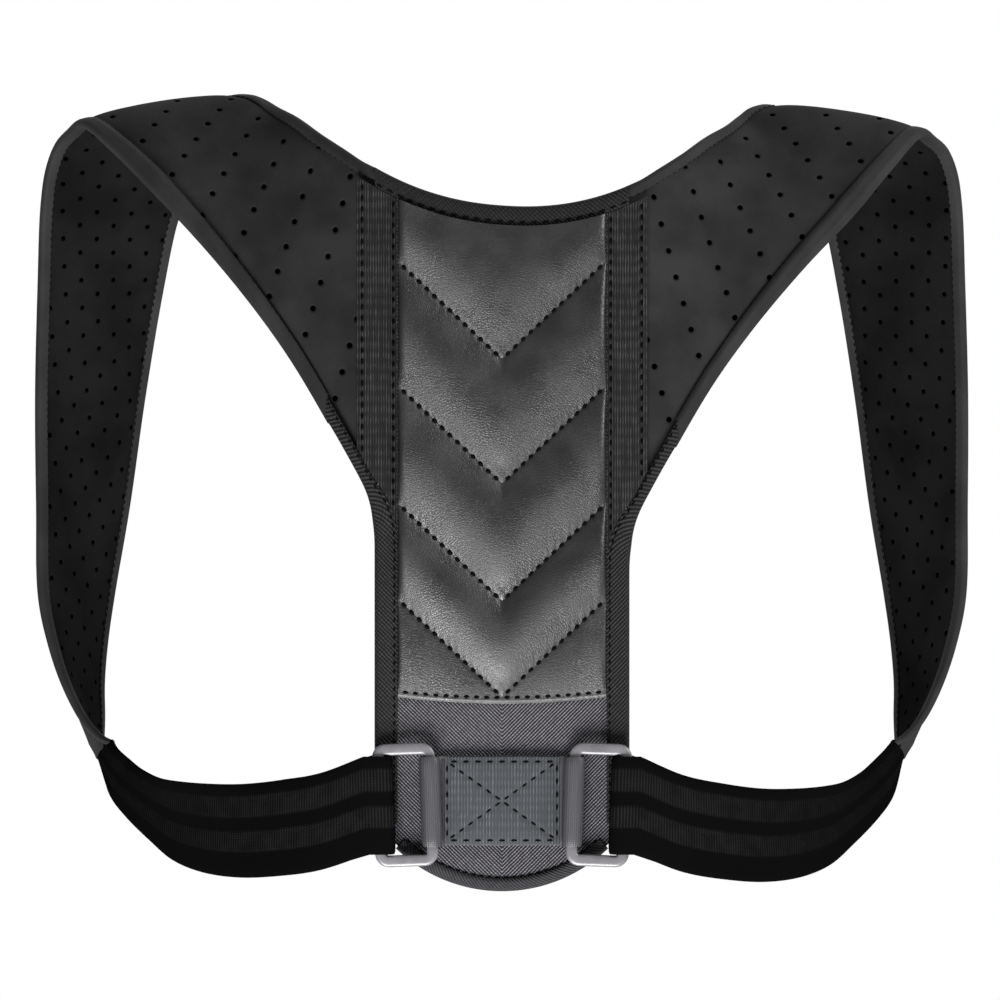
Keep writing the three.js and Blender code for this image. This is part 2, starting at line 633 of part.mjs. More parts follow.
function strapSide(side) {
  const pairs = [...yokePairs(side), ...chestPairs(side)];
  const edges = smoothEdges(pairs);
  const normals = outward(side, edges);
  normals[0] = at(0, -1, 0); // it leaves the panel flat
  const armFrames = edgeFrames(edges.arm, edges.neck, normals, edges.bow);
  const neckFrames = edgeFrames(edges.neck, edges.arm, normals, edges.bow);
  const tapeEnd = 2 * stepsPerRow; // the last station of the arm edge that the side tape covers
  const sideFrames = sideTapeFrames(side, armFrames.slice(0, tapeEnd + 1));
  const boundEdge = [...sideFrames, ...armFrames.slice(tapeEnd, 2 * tapeEnd)].map((frame) =>
    frame.point.clone().addScaledVector(frame.inward, sideReach));
  const across = edges.neck.at(-1).clone().sub(edges.arm.at(-1));
  const onward = normals.at(-1).clone().cross(across).multiplyScalar(-side.sign).setLength(3 * gap);
  const join = {
    arm: edges.arm.at(-1).clone().add(onward),
    neck: edges.neck.at(-1).clone().add(onward),
    bow: edges.bow.at(-1),
  };
  return [
    mesh(`shoulder_strap_${side.name}`, strapCore(armFrames, neckFrames, normals, edges.bow), neoprene),
    mesh(`arm_edge_${side.name}`,
      foldedTape(trimmed(armFrames.slice(tapeEnd), gap), armReach, edgeThick / 2), neoprene),
    mesh(`neck_edge_${side.name}`, foldedTape(trimmed(neckFrames, gap), neckReach, edgeThick / 2), neoprene),
    seamTape(side, boundEdge),
    mesh(`side_binding_${side.name}`, foldedTape(sideFrames, sideReach, panelThick / 2), tapeCloth),
    ring(side),
    anchorWebbing(side),
    ...sideStrap(side, join),
  ];
}

const group = new THREE.Group();
group.add(backPanel(), chevronPad(), neckBinding(), flapPiping(), anchorPatch());
for (const side of sides) group.add(...strapSide(side));

export default group;
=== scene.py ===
"""Looks of a posture corrector in its worn form, seen from behind.

All sizes here are millimetres in the frame of the solids: x across, y forward, z up, with the origin at
the shoulder seat. Meshes are scaled to metres when they are made.
"""

import logging
import math
from dataclasses import dataclass
from enum import Enum

import bpy
import numpy as np
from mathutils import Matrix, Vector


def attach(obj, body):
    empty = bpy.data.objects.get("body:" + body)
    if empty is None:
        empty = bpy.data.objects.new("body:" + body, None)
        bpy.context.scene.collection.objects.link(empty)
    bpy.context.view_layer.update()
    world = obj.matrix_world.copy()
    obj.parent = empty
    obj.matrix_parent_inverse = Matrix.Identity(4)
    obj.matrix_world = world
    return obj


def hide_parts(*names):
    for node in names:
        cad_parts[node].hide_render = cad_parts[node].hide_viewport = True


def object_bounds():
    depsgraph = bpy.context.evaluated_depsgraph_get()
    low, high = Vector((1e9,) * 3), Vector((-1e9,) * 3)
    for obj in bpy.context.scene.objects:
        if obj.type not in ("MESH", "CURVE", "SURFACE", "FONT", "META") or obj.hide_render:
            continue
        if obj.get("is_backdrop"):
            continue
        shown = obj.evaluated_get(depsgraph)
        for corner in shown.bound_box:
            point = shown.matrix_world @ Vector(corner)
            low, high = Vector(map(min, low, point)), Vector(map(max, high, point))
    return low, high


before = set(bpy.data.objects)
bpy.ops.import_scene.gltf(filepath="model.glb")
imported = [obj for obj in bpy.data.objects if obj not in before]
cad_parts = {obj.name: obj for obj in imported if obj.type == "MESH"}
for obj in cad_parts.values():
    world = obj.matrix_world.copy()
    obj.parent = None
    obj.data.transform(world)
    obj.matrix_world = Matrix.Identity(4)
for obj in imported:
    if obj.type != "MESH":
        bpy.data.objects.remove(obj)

logging.basicConfig(level=logging.INFO, format="%(message)s")
log = logging.getLogger("posture_corrector")

Array = np.ndarray
Piece = bpy.types.Object
Tree = bpy.types.NodeTree
Node = bpy.types.Node
Socket = bpy.types.NodeSocket
Colour = tuple[float, float, float, float]
Value = Socket | float
MM = 0.001
ROOT = "root"


class Side(Enum):
    """The two sides of the wearer, as seen from behind."""

    LEFT = -1
    RIGHT = 1

    @property
    def label(self) -> str:
        """The side's name in node names."""
        return self.name.lower()


@dataclass(frozen=True)
class WornForm:
    """Where the worn form lies, and the sizes that several pieces share."""

    back_depth: float = 62.0
    chest_depth: float = 64.5
    crest_span: float = 143.0
    side_span: float = 186.0
    join_level: float = 268.0
    side_sag: float = 21.4
    right_drop: float = 11.0
    right_pull: float = 1.0
    left_swing: float = 4.5
    right_sag: float = 2.0
    strap_width: float = 70.0
    strap_thick: float = 5.2
    edge_thick: float = 4.0
    elastic_width: float = 39.0
    elastic_thick: float = 1.6
    seam_height: float = 138.8
    strap_bow: float = 6.5
    bow_slope: float = 2.4
    bind_thick: float = 1.0
    bind_gap: float = 0.5
    arm_reach: float = 7.0
    neck_reach: float = 4.6
    side_reach: float = 7.8
    neck_top_reach: float = 6.4
    pad_width: float = 83.2
    piping_reach: float = 4.0
    panel_width: float = 102.2
    panel_thick: float = 5.2
    neck_level: float = 38.4
    neck_rise: float = 11.2
    neck_power: float = 2.2
    neck_tilt: float = 0.64
    flap_level: float = 316.8
    flap_radius: float = 61.4
    ring_level: float = 281.4
    ring_span: float = 38.6
    ring_width: float = 25.2
    ring_height: float = 49.0
    ring_bar: float = 4.6
    ring_thick: float = 4.0
    ring_stand: float = 6.2
    ring_lean: float = 2.0
    gap: float = 0.3

    @property
    def bind_grow(self) -> float:
        """How far a bound edge stands outside its core."""
        return self.bind_gap + self.bind_thick

    @property
    def core_half(self) -> float:
        """Half the width of the panel without its bindings."""
        return self.panel_width / 2 - self.bind_grow

    @property
    def panel_middle(self) -> float:
        """The panel's middle plane, forward of the seat."""
        return self.panel_thick / 2 - self.back_depth

    @property
    def ring_plane(self) -> float:
        """The rings' middle plane, forward of the seat."""
        return -self.back_depth - self.ring_stand

    @property
    def front_layer(self) -> float:
        """The elastic's middle where it passes over a ring's outer bar."""
        return self.ring_plane - self.ring_thick / 2 - self.gap - self.elastic_thick / 2

    def neckline(self, x: Array) -> Array:
        """Height of the neckline's bound edge.

        A power of the distance from the centre line lifts it to the seams, and a straight line lowers its
        right end.

        Args:
            x: places across the panel.

        Returns:
            The heights.
        """
        share = np.asarray(x, float) / (self.core_half + self.gap)
        curve = self.neck_rise * np.abs(share) ** self.neck_power
        return curve - self.neck_level - self.neck_tilt * self.right_drop * (1 + share) / 2

    def flap_edge(self, x: Array) -> Array:
        """Height of the flap's round edge, an arc about the flap's centre.

        Args:
            x: places across the panel.

        Returns:
            The heights.
        """
        radius = self.flap_radius - self.bind_grow
        return self.flap_radius - self.flap_level - np.sqrt(radius**2 - np.asarray(x, float) ** 2)

    def lean_at(self, z: Array) -> Array:
        """How far a ring's lean moves a point outward, from its height.

        Args:
            z: heights.

        Returns:
            The shifts.
        """
        return (z + self.ring_level) * math.tan(math.radians(self.ring_lean))


FORM = WornForm()
OUT = np.array([0.0, -1.0, 0.0])  # straight back, out of the panel's outer face
SHARP = 40.0  # degrees between faces past which an edge stays sharp


def rows(names: str, values: list[tuple[float, ...]]) -> Array:
    """Makes a short table with named columns.

    Args:
        names: the columns' names, parted by spaces.
        values: one tuple for each row.

    Returns:
        A structured array.
    """
    return np.array(values, dtype=[(name, float) for name in names.split()])


# The strap fans out from the seam (0) to the crest (1). turn and tilt, in degrees, aim the line from the
# arm edge to the neck edge. The drops are shares of right_drop, narrow and bow shares of their sizes.
YOKE_ROWS = rows(
    "across forward rise narrow turn tilt neck_drop arm_drop bow",
    [
        (0, 0, 0, 0, 25, 90, 0.64, 0.9, 0),
        (0.075, 0.015, 0.09, 0.17, 25, 89, 0.66, 0.88, 0),
        (0.174, 0.06, 0.223, 0.41, 25, 86, 0.69, 0.87, 0),
        (0.316, 0.16, 0.396, 0.686, 29, 80.5, 0.71, 0.87, 0),
        (0.466, 0.3, 0.56, 0.873, 38, 70, 0.72, 0.9, 0),
        (0.624, 0.47, 0.71, 1, 40, 53.5, 0.7, 0.93, 0.1),
        (0.763, 0.64, 0.838, 1, 39, 35, 0.62, 0.95, 0.2),
        (0.888, 0.806, 0.94, 1, 29.5, 20.5, 0.46, 0.66, 0.3),
        (1, 1, 1, 1, 19, 11, 0.36, 0.36, 0.3),
    ],
)

# Down the chest, from the crest (0) to the widest place and the join (1).
CHEST_ROWS = rows(
    "across forward fall narrow turn tilt drop bow",
    [
        (0.175, 0.217, 0.015, 0, 20, 8, 0.3, 0.3),
        (0.33, 0.395, 0.041, 0, 22.5, 4, 0.2, 0.25),
        (0.475, 0.543, 0.084, 0.03, 27, 1, 0.1, 0.2),
        (0.61, 0.682, 0.141, 0.08, 35, -1, 0.04, 0.15),
        (0.73, 0.837, 0.254, 0.16, 40, -1, 0, 0.1),
        (0.864, 0.992, 0.431, 0.235, 46.5, 1, 0, 0.1),
        (0.94, 1, 0.609, 0.315, 53.5, 0, 0, 0.1),
        (1, 0.93, 0.757, 0.525, 58, -3, 0, 0.1),
        (0.977, 0.871, 0.83, 0.69, 63, -5, 0, 0.15),
        (0.91, 0.806, 0.894, 0.87, 69.5, -5, 0, 0.28),
        (0.795, 0.721, 0.949, 0.96, 80, -4, 0, 0.5),
        (0.698, 0.636, 0.982, 1, 91, -9, 0, 0.6),
        (0.618, 0.535, 1, 1, 100, -17, 0, 0.5),
    ],
)

# Under the arm, from the join (0) to the ring (1). sag is the share of the sag below the straight line.
ELASTIC_ROWS = rows(
    "across back sag turn tilt bow",
    [
        (0.028, 0.085, 0.25, 105, -24.5, 0.3),
        (0.071, 0.175, 0.47, 110, -28.5, 0.15),
        (0.135, 0.297, 0.67, 108, -36, 0),
        (0.22, 0.411, 0.865, 105, -46.5, 0),
        (0.301, 0.5, 0.985, 103, -61, 0),
        (0.41, 0.604, 1, 103, -73, 0),
        (0.544, 0.718, 0.91, 106, -81, 0),
        (0.691, 0.845, 0.7, 110, -86, 0),
        (0.845, 0.949, 0.42, 110, -88.5, 0),
    ],
)


def mix(a: Array, b: Array, share: Array) -> Array:
    """Straight mix of two values.

    Args:
        a: value at share 0.
        b: value at share 1.
        share: how far along.

    Returns:
        The mixed value.
    """
    return a + (b - a) * share


def unit(vectors: Array) -> Array:
    """Vectors scaled to length 1.

    Args:
        vectors: an array whose last axis holds the coordinates.

    Returns:
        The unit vectors.
    """
    return vectors / np.maximum(np.linalg.norm(vectors, axis=-1, keepdims=True), 1e-9)


def smoothstep(low: float, high: float, value: Array) -> Array:
    """Smooth rise from 0 at low to 1 at high.

    Args:
        low: where it starts.
        high: where it ends.
        value: where it is wanted.

    Returns:
        The share risen.
    """
    t = np.clip((value - low) / (high - low), 0, 1)
    return t * t * (3 - 2 * t)


def catmull_rom(points: Array, count: int) -> Array:
    """Points along a centripetal Catmull-Rom curve.

    Each stretch is a cubic whose end tangents come from its neighbours, weighted by the square root of
    the distances between points. Stretches take equal shares of the samples.

    Args:
        points: the points that the curve passes through, one per row.
        count: how many samples each stretch gets.

    Returns:
        The samples, one per row.
    """
    stretches = len(points) - 1
    padded = np.vstack([2 * points[0] - points[1], points, 2 * points[-1] - points[-2]])
    place = np.linspace(0, stretches, stretches * count + 1)
    start = np.minimum(place.astype(int), stretches - 1)
    w = (place - start)[:, None]
    a, b, c, d = (padded[start + k] for k in range(4))
    ab, bc, cd = (np.sqrt(np.linalg.norm(q - p, axis=1))[:, None] for p, q in ((a, b), (b, c), (c, d)))
    first = ((b - a) / ab - (c - a) / (ab + bc) + (c - b) / bc) * bc
    second = ((c - b) / bc - (d - b) / (bc + cd) + (d - c) / cd) * bc
    square = -3 * b + 3 * c - 2 * first - second
    cube = 2 * b - 2 * c + first + second
    return b + first * w + square * w**2 + cube * w**3


def arc_length(points: Array) -> Array:
    """Distance along a line of points, from its first.

    Args:
        points: the line's points, one per row.

    Returns:
        One distance per point.
    """
    return np.concatenate([[0], np.cumsum(np.linalg.norm(np.diff(points, axis=0), axis=1))])


def at_lengths(points: Array, lengths: Array) -> Array:
    """Points at given distances along a line.

    Args:
        points: the line's points, one per row.
        lengths: the distances wanted.

    Returns:
        One point per distance.
    """
    along = arc_length(points)
    return np.stack([np.interp(lengths, along, points[:, k]) for k in range(points.shape[1])], axis=1)


def grid_quads(row_count: int, column_count: int) -> Array:
    """Quads of a grid of vertices, row by row.

    Args:
        row_count: rows of vertices.
        column_count: vertices in a row.

    Returns:
        Four vertex numbers for each quad.
    """
    first = np.arange(row_count - 1)[:, None] * column_count + np.arange(column_count - 1)
    first = first.ravel()
    return np.stack([first, first + column_count, first + column_count + 1, first + 1], axis=1)


def make_piece(
    name: str, vertices: Array, quads: Array, uv: Array | None = None, sharp: float = SHARP
) -> Piece:
    """Makes a mesh object at the origin from quads, facing outwards.

    The signed volume of the closed shape says which way its faces point, and they are turned round where
    it is negative.

    Args:
        name: the piece's name.
        vertices: its points, in millimetres.
        quads: four vertex numbers for each face.
        uv: flat coordinates in millimetres, one pair per vertex.
        sharp: faces that meet at more degrees than this keep a sharp edge.

    Returns:
        The object.
    """
    vertices = np.asarray(vertices, float).reshape(-1, 3) * MM
    a, b, c, d = (vertices[quads[:, k]] for k in range(4))
    volume = np.einsum("ij,ij->i", a, np.cross(b, c)).sum() + np.einsum("ij,ij->i", a, np.cross(c, d)).sum()
    if volume < 0:
        quads = quads[:, ::-1]
    mesh = bpy.data.meshes.new(name)
    mesh.vertices.add(len(vertices))
    mesh.vertices.foreach_set("co", vertices.astype(np.float32).ravel())
    mesh.loops.add(quads.size)
    mesh.loops.foreach_set("vertex_index", quads.astype(np.int32).ravel())
    mesh.polygons.add(len(quads))
    mesh.polygons.foreach_set("loop_start", np.arange(0, quads.size, 4, dtype=np.int32))
    mesh.polygons.foreach_set("use_smooth", np.ones(len(quads), bool))
    if uv is not None:
        layer = mesh.uv_layers.new(name="flat")
        pairs = np.asarray(uv, float).reshape(-1, 2)[quads.ravel()]
        layer.data.foreach_set("uv", pairs.astype(np.float32).ravel())
    mesh.update(calc_edges=True)
    mesh.validate()
    mesh.set_sharp_from_angle(angle=math.radians(sharp))
    piece = bpy.data.objects.new(name, mesh)
    bpy.context.collection.objects.link(piece)
    return piece


def slab_piece(
    name: str, outer: Array, inner: Array, uv: Array | None = None, sharp: float = SHARP
) -> Piece:
    """Makes a closed slab between two grids of points of the same shape.

    Args:
        name: the piece's name.
        outer: points of one face, rows by columns.
        inner: points of the other face.
        uv: flat coordinates shared by both faces, rows by columns.
        sharp: faces that meet at more degrees than this keep a sharp edge.

    Returns:
        The object.
    """
    r, c = outer.shape[:2]
    front = grid_quads(r, c)
    back = front[:, ::-1] + r * c
    near_side, far_side = np.arange(c), (r - 1) * c + np.arange(c - 2, -1, -1)
    loop = np.concatenate([near_side, np.arange(1, r) * c + c - 1, far_side, np.arange(r - 2, 0, -1) * c])
    after = np.roll(loop, -1)
    rim = np.stack([loop, after, after + r * c, loop + r * c], axis=1)
    vertices = np.concatenate([outer.reshape(-1, 3), inner.reshape(-1, 3)])
    both = None if uv is None else np.concatenate([uv.reshape(-1, 2), uv.reshape(-1, 2)])
    return make_piece(name, vertices, np.concatenate([front, back, rim]), both, sharp)


def ring_piece(name: str, sections: Array) -> Piece:
    """Makes a closed loop swept through closed sections, such as a ring.

    Args:
        name: the piece's name.
        sections: points, one row for each section round the loop.

    Returns:
        The object.
    """
    r, c = sections.shape[:2]
    row, column = np.meshgrid(np.arange(r), np.arange(c), indexing="ij")
    next_row, next_column = (row + 1) % r, (column + 1) % c
    quads = np.stack(
        [row * c + column, next_row * c + column, next_row * c + next_column, row * c + next_column], axis=-1
    )
    return make_piece(name, sections, quads.reshape(-1, 4))


def dress(
    piece: Piece,
    finish: "Finish",
    slot: str,
    *nodes: str,
    lining: "Finish | None" = None,
    lined: tuple[int, int] = (0, 0),
) -> Piece:
    """Gives a piece its finish and its body, and hides the solids' nodes that it stands for.

    Args:
        piece: the object.
        finish: the finish, which makes its material once.
        slot: the record's material slot; not used.
        nodes: the solids' nodes that it replaces.
        lining: a second finish for some of its faces.
        lined: the first and the end number of those faces.

    Returns:
        The object.
    """
    piece.data.materials.clear()
    piece.data.materials.append(finish.material())
    if lining is not None:
        piece.data.materials.append(lining.material())
        number = np.zeros(len(piece.data.polygons), np.int32)
        number[lined[0] : lined[1]] = 1
        piece.data.polygons.foreach_set("material_index", number)
    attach(piece, ROOT)
    if nodes:
        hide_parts(*nodes)
    log.info("%s: %d faces", piece.name, len(piece.data.polygons))
    return piece


def srgb(code: str) -> Colour:
    """Turns an sRGB hex value into linear colour.

    Args:
        code: six hex digits.

    Returns:
        Linear red, green, blue and alpha.
    """
    parts = [int(code[k : k + 2], 16) / 255 for k in (0, 2, 4)]
    linear = [p / 12.92 if p <= 0.04045 else ((p + 0.055) / 1.055) ** 2.4 for p in parts]
    return (*linear, 1.0)


def add(tree: Tree, kind: str, inputs: dict | None = None, **settings: object) -> Node:
    """Adds a node with its settings and links.

    Args:
        tree: the node tree.
        kind: the node's type name, without its common prefix.
        inputs: values or sockets for its inputs, by name or number.
        settings: attributes of the node.

    Returns:
        The node.
    """
    made = tree.nodes.new("ShaderNode" + kind)
    for key, value in settings.items():
        setattr(made, key, value)
    for key, value in (inputs or {}).items():
        if isinstance(value, bpy.types.NodeSocket):
            tree.links.new(value, made.inputs[key])
        else:
            made.inputs[key].default_value = value
    return made


@dataclass(frozen=True)
class Finish:
    """A material that is made once, found again by its name, and shared by the pieces that wear it."""

    name: str
    base: str
    rough: float
    gloss: float = 0.15

    def material(self) -> bpy.types.Material:
        """The finish's material, made on first use."""
        made = bpy.data.materials.get(self.name)
        if made is None:
            made = bpy.data.materials.new(self.name)
            made.use_nodes = True
            tree = made.node_tree
            tree.nodes.clear()
            shader = add(tree, "BsdfPrincipled")
            out = add(tree, "OutputMaterial")
            tree.links.new(shader.outputs[0], out.inputs["Surface"])
            shader.inputs["Roughness"].default_value = self.rough
            shader.inputs["Base Color"].default_value = srgb(self.base)
            shader.inputs["Specular IOR Level"].default_value = self.gloss
            self.pattern(tree, shader)
        return made

    def pattern(self, tree: Tree, shader: Node) -> None:
        """Adds the finish's own pattern.

        Args:
            tree: the node tree.
            shader: the surface's shader node.
        """

    def shade(self, factor: float) -> Colour:
        """The base colour made lighter or darker.

        Args:
            factor: what its linear colour is multiplied by.

        Returns:
            The colour.
        """
        return (*(factor * part for part in srgb(self.base)[:3]), 1.0)

    def flat(self, tree: Tree) -> tuple[Socket, Socket, Socket]:
        """The piece's flat coordinates in millimetres: the whole vector, and along and across alone.

        Args:
            tree: the node tree.

        Returns:
            Three sockets.
        """
        place = add(tree, "UVMap", uv_map="flat")
        parts = add(tree, "SeparateXYZ", {0: place.outputs["UV"]})
        return place.outputs["UV"], parts.outputs["X"], parts.outputs["Y"]

    def math(self, tree: Tree, operation: str, *values: Value) -> Socket:
        """A sum on one or two numbers.

        Args:
            tree: the node tree.
            operation: its name.
            values: numbers or sockets.

        Returns:
            The result's socket.
        """
        return add(tree, "Math", dict(enumerate(values)), operation=operation).outputs[0]

    def wave(self, tree: Tree, value: Socket, period: float) -> Socket:
        """A sine of a length, from 0 to 1.

        Args:
            tree: the node tree.
            value: the length's socket, in millimetres.
            period: one wave, in millimetres.

        Returns:
            The result's socket.
        """
        sine = self.math(tree, "SINE", self.math(tree, "MULTIPLY", value, 2 * math.pi / period))
        return self.math(tree, "MULTIPLY_ADD", sine, 0.5, 0.5)

    def ramp(
        self, tree: Tree, value: Socket, low: float, high: float, start: float = 0.0, end: float = 1.0
    ) -> Socket:
        """A smooth change from one number to another.

        Args:
            tree: the node tree.
            value: what it follows.
            low: where it starts.
            high: where it ends.
            start: its first number.
            end: its last number.

        Returns:
            The result's socket.
        """
        made = add(
            tree,
            "MapRange",
            {"Value": value, "From Min": low, "From Max": high, "To Min": start, "To Max": end},
            interpolation_type="SMOOTHSTEP",
        )
        return made.outputs["Result"]

    def blend(self, tree: Tree, share: Socket, first: Socket | Colour, second: Socket | Colour) -> Socket:
        """A colour between two colours.

        Args:
            tree: the node tree.
            share: how much of the second.
            first: a colour or socket.
            second: a colour or socket.

        Returns:
            The colour's socket.
        """
        made = add(tree, "Mix", {"Factor": share, "A": first, "B": second}, data_type="RGBA")
        for name, value in (("A", first), ("B", second)):
            socket = next(s for s in made.inputs if s.name == name and s.type == "RGBA")
            if isinstance(value, bpy.types.NodeSocket):
                tree.links.new(value, socket)
            else:
                socket.default_value = value
        return next(s for s in made.outputs if s.type == "RGBA")

    def bump(self, tree: Tree, shader: Node, height: Socket, distance: float) -> None:
        """Sets the shader's normal from a height.

        Args:
            tree: the node tree.
            shader: the surface's shader node.
            height: the height's socket.
            distance: the relief for a height of 1, in millimetres.
        """
        made = add(tree, "Bump", {"Height": height, "Distance": distance * MM, "Strength": 1.0})
        tree.links.new(made.outputs["Normal"], shader.inputs["Normal"])

    def noise(self, tree: Tree, vector: Socket, size: float, detail: float = 3.0) -> Socket:
        """A cloudy pattern with blotches of a real size.

        Args:
            tree: the node tree.
            vector: the coordinates' socket.
            size: a blotch's size, in the same unit as the coordinates.
            detail: how many finer layers it has.

        Returns:
            The result's socket.
        """
        made = add(tree, "TexNoise", {"Vector": vector, "Scale": 1 / size, "Detail": detail})
        return made.outputs["Fac"]


@dataclass(frozen=True)
class Neoprene(Finish):
    """Perforated neoprene with a knit face: matte and near black, with punched holes in slanting rows.

    The holes are about 2.3 mm wide, and their two steps are hole_step and row_step in the cloth's flat
    plane.
    """

    holes: bool = True
    hole_radius: float = 1.15
    hole_step: tuple[float, float] = (-15.0, -11.5)
    row_step: tuple[float, float] = (-6.4, 8.9)

    def pattern(self, tree: Tree, shader: Node) -> None:
        """Adds knit, soft mottling and the holes, which are filled with painted shade.

        Args:
            tree: the node tree.
            shader: the surface's shader node.
        """
        vector, along, across = self.flat(tree)
        cloud = self.noise(tree, vector, 28, 4)
        colour = self.blend(tree, self.ramp(tree, cloud, 0.3, 0.7), self.shade(0.72), self.shade(1.3))
        fuzz = self.noise(tree, vector, 1.1, 3)
        knit = self.math(tree, "MULTIPLY", self.wave(tree, along, 0.9), self.wave(tree, across, 0.9))
        height = self.math(tree, "MULTIPLY_ADD", fuzz, 0.55, self.math(tree, "MULTIPLY", knit, 0.3))
        if self.holes:
            distance = self.hole_distance(tree, along, across)
            # Painted shade: each hole is filled with black for the shade inside it, and loses its shine.
            edge = self.ramp(tree, distance, self.hole_radius * 0.8, self.hole_radius * 1.3)
            colour = self.blend(tree, edge, srgb("000000"), colour)
            rim = self.ramp(tree, distance, self.hole_radius * 0.7, self.hole_radius * 1.8)
            height = self.math(tree, "MULTIPLY_ADD", rim, 2.5, height)
            gloss = self.math(tree, "MULTIPLY", edge, self.gloss)
            tree.links.new(gloss, shader.inputs["Specular IOR Level"])
        tree.links.new(colour, shader.inputs["Base Color"])
        self.bump(tree, shader, height, 0.16)

    def hole_distance(self, tree: Tree, along: Socket, across: Socket) -> Socket:
        """Distance to the nearest hole's centre.

        The flat place is written as steps of the two hole vectors, only the fractions of the steps are
        kept, and they are turned back into millimetres.

        Args:
            tree: the node tree.
            along: distance along the strap.
            across: distance across it.

        Returns:
            The distance's socket.
        """
        step = np.array([self.hole_step, self.row_step]).T
        back = np.linalg.inv(step)
        parts, squares = [], []
        for first, second in back:
            whole = self.weighted(tree, along, across, first, second)
            parts.append(self.math(tree, "SUBTRACT", self.math(tree, "FRACT", whole), 0.5))
        for first, second in step:
            run = self.weighted(tree, *parts, first, second)
            squares.append(self.math(tree, "MULTIPLY", run, run))
        return self.math(tree, "SQRT", self.math(tree, "ADD", *squares))

    def weighted(self, tree: Tree, one: Socket, other: Socket, first: float, second: float) -> Socket:
        """The sum of two numbers, each times its weight.

        Args:
            tree: the node tree.
            one: the first number.
            other: the second number.
            first: the first weight.
            second: the second weight.

        Returns:
            The sum's socket.
        """
        rest = self.math(tree, "MULTIPLY", other, float(second))
        return self.math(tree, "MULTIPLY_ADD", one, float(first), rest)


@dataclass(frozen=True)
class Leather(Finish):
    """Soft satin leather: a fine pebbled grain with broad soft highlights on the puffed channels."""

    pebble_size: float = 0.9

    def pattern(self, tree: Tree, shader: Node) -> None:
        """Adds grain, faint creases and worn tone.

        Args:
            tree: the node tree.
            shader: the surface's shader node.
        """
        vector, _, _ = self.flat(tree)
        cells = {"Vector": vector, "Scale": 1 / self.pebble_size, "Randomness": 1.0}
        grain = add(tree, "TexVoronoi", cells, feature="DISTANCE_TO_EDGE")
        pebble = self.ramp(tree, grain.outputs["Distance"], 0.0, 0.22)
        crease = self.noise(tree, vector, 16, 1)
        tone = self.noise(tree, vector, 30, 3)
        colour = self.blend(tree, self.ramp(tree, tone, 0.3, 0.7), self.shade(0.8), self.shade(1.22))
        tree.links.new(colour, shader.inputs["Base Color"])
        rough = self.ramp(tree, crease, 0.25, 0.75, self.rough - 0.06, self.rough + 0.08)
        tree.links.new(rough, shader.inputs["Roughness"])
        height = self.math(tree, "MULTIPLY_ADD", pebble, 0.12, self.math(tree, "MULTIPLY", crease, 0.7))
        self.bump(tree, shader, height, 0.35)


class Weave(Enum):
    """How a woven band's threads run."""

    TWILL_LEFT = -1
    TWILL_RIGHT = 1
    RIB = 0
    HERRINGBONE = 2


@dataclass(frozen=True)
class Woven(Finish):
    """Woven polyester: threads in slanting or upright ribs, lighter on their crowns and dark between.

    pitch is the distance between ribs and thread the distance between the picks along a rib, in
    millimetres, drawn a little coarser than real threads so that they show.
    """

    line: str = "6a686c"
    weave: Weave = Weave.TWILL_RIGHT
    pitch: float = 1.3
    thread: float = 0.8
    relief: float = 0.3

    def pattern(self, tree: Tree, shader: Node) -> None:
        """Adds the ribs, the picks along them and some unevenness.

        Args:
            tree: the node tree.
            shader: the surface's shader node.
        """
        vector, along, across = self.flat(tree)
        uneven = self.noise(tree, vector, 2.2, 2)
        if self.weave is Weave.RIB:
            slanted = across
            other = along
        elif self.weave is Weave.HERRINGBONE:
            slanted = self.math(tree, "SUBTRACT", along, self.math(tree, "ABSOLUTE", across))
            other = self.math(tree, "ADD", self.math(tree, "ABSOLUTE", across), along)
        else:
            slanted = self.math(tree, "MULTIPLY_ADD", across, float(self.weave.value), along)
            other = self.math(tree, "MULTIPLY_ADD", across, -float(self.weave.value), along)
        wobble = self.math(tree, "MULTIPLY_ADD", uneven, 0.5, slanted)
        slant = 1 if self.weave is Weave.RIB else math.sqrt(2)
        rib = self.wave(tree, wobble, self.pitch * slant)
        pick = self.wave(tree, other, self.thread * slant)
        if self.weave is Weave.RIB:
            slow = self.math(tree, "MULTIPLY", along, 0.06)
            stretched = add(tree, "CombineXYZ", {0: slow, 1: across}).outputs[0]
            streak = self.ramp(tree, self.noise(tree, stretched, 0.9, 2), 0.25, 0.75, 0.35, 1.0)
            rib = self.math(tree, "MULTIPLY", rib, streak)
        broken = self.math(tree, "MULTIPLY", rib, self.math(tree, "MULTIPLY_ADD", pick, 0.4, 0.6))
        share = self.ramp(tree, broken, 0.15, 0.95)
        speck = self.math(tree, "MULTIPLY", share, self.ramp(tree, uneven, 0.2, 0.8, 0.65, 1.15))
        colour = self.blend(tree, speck, srgb(self.base), srgb(self.line))
        tree.links.new(colour, shader.inputs["Base Color"])
        self.bump(tree, shader, broken, self.relief)


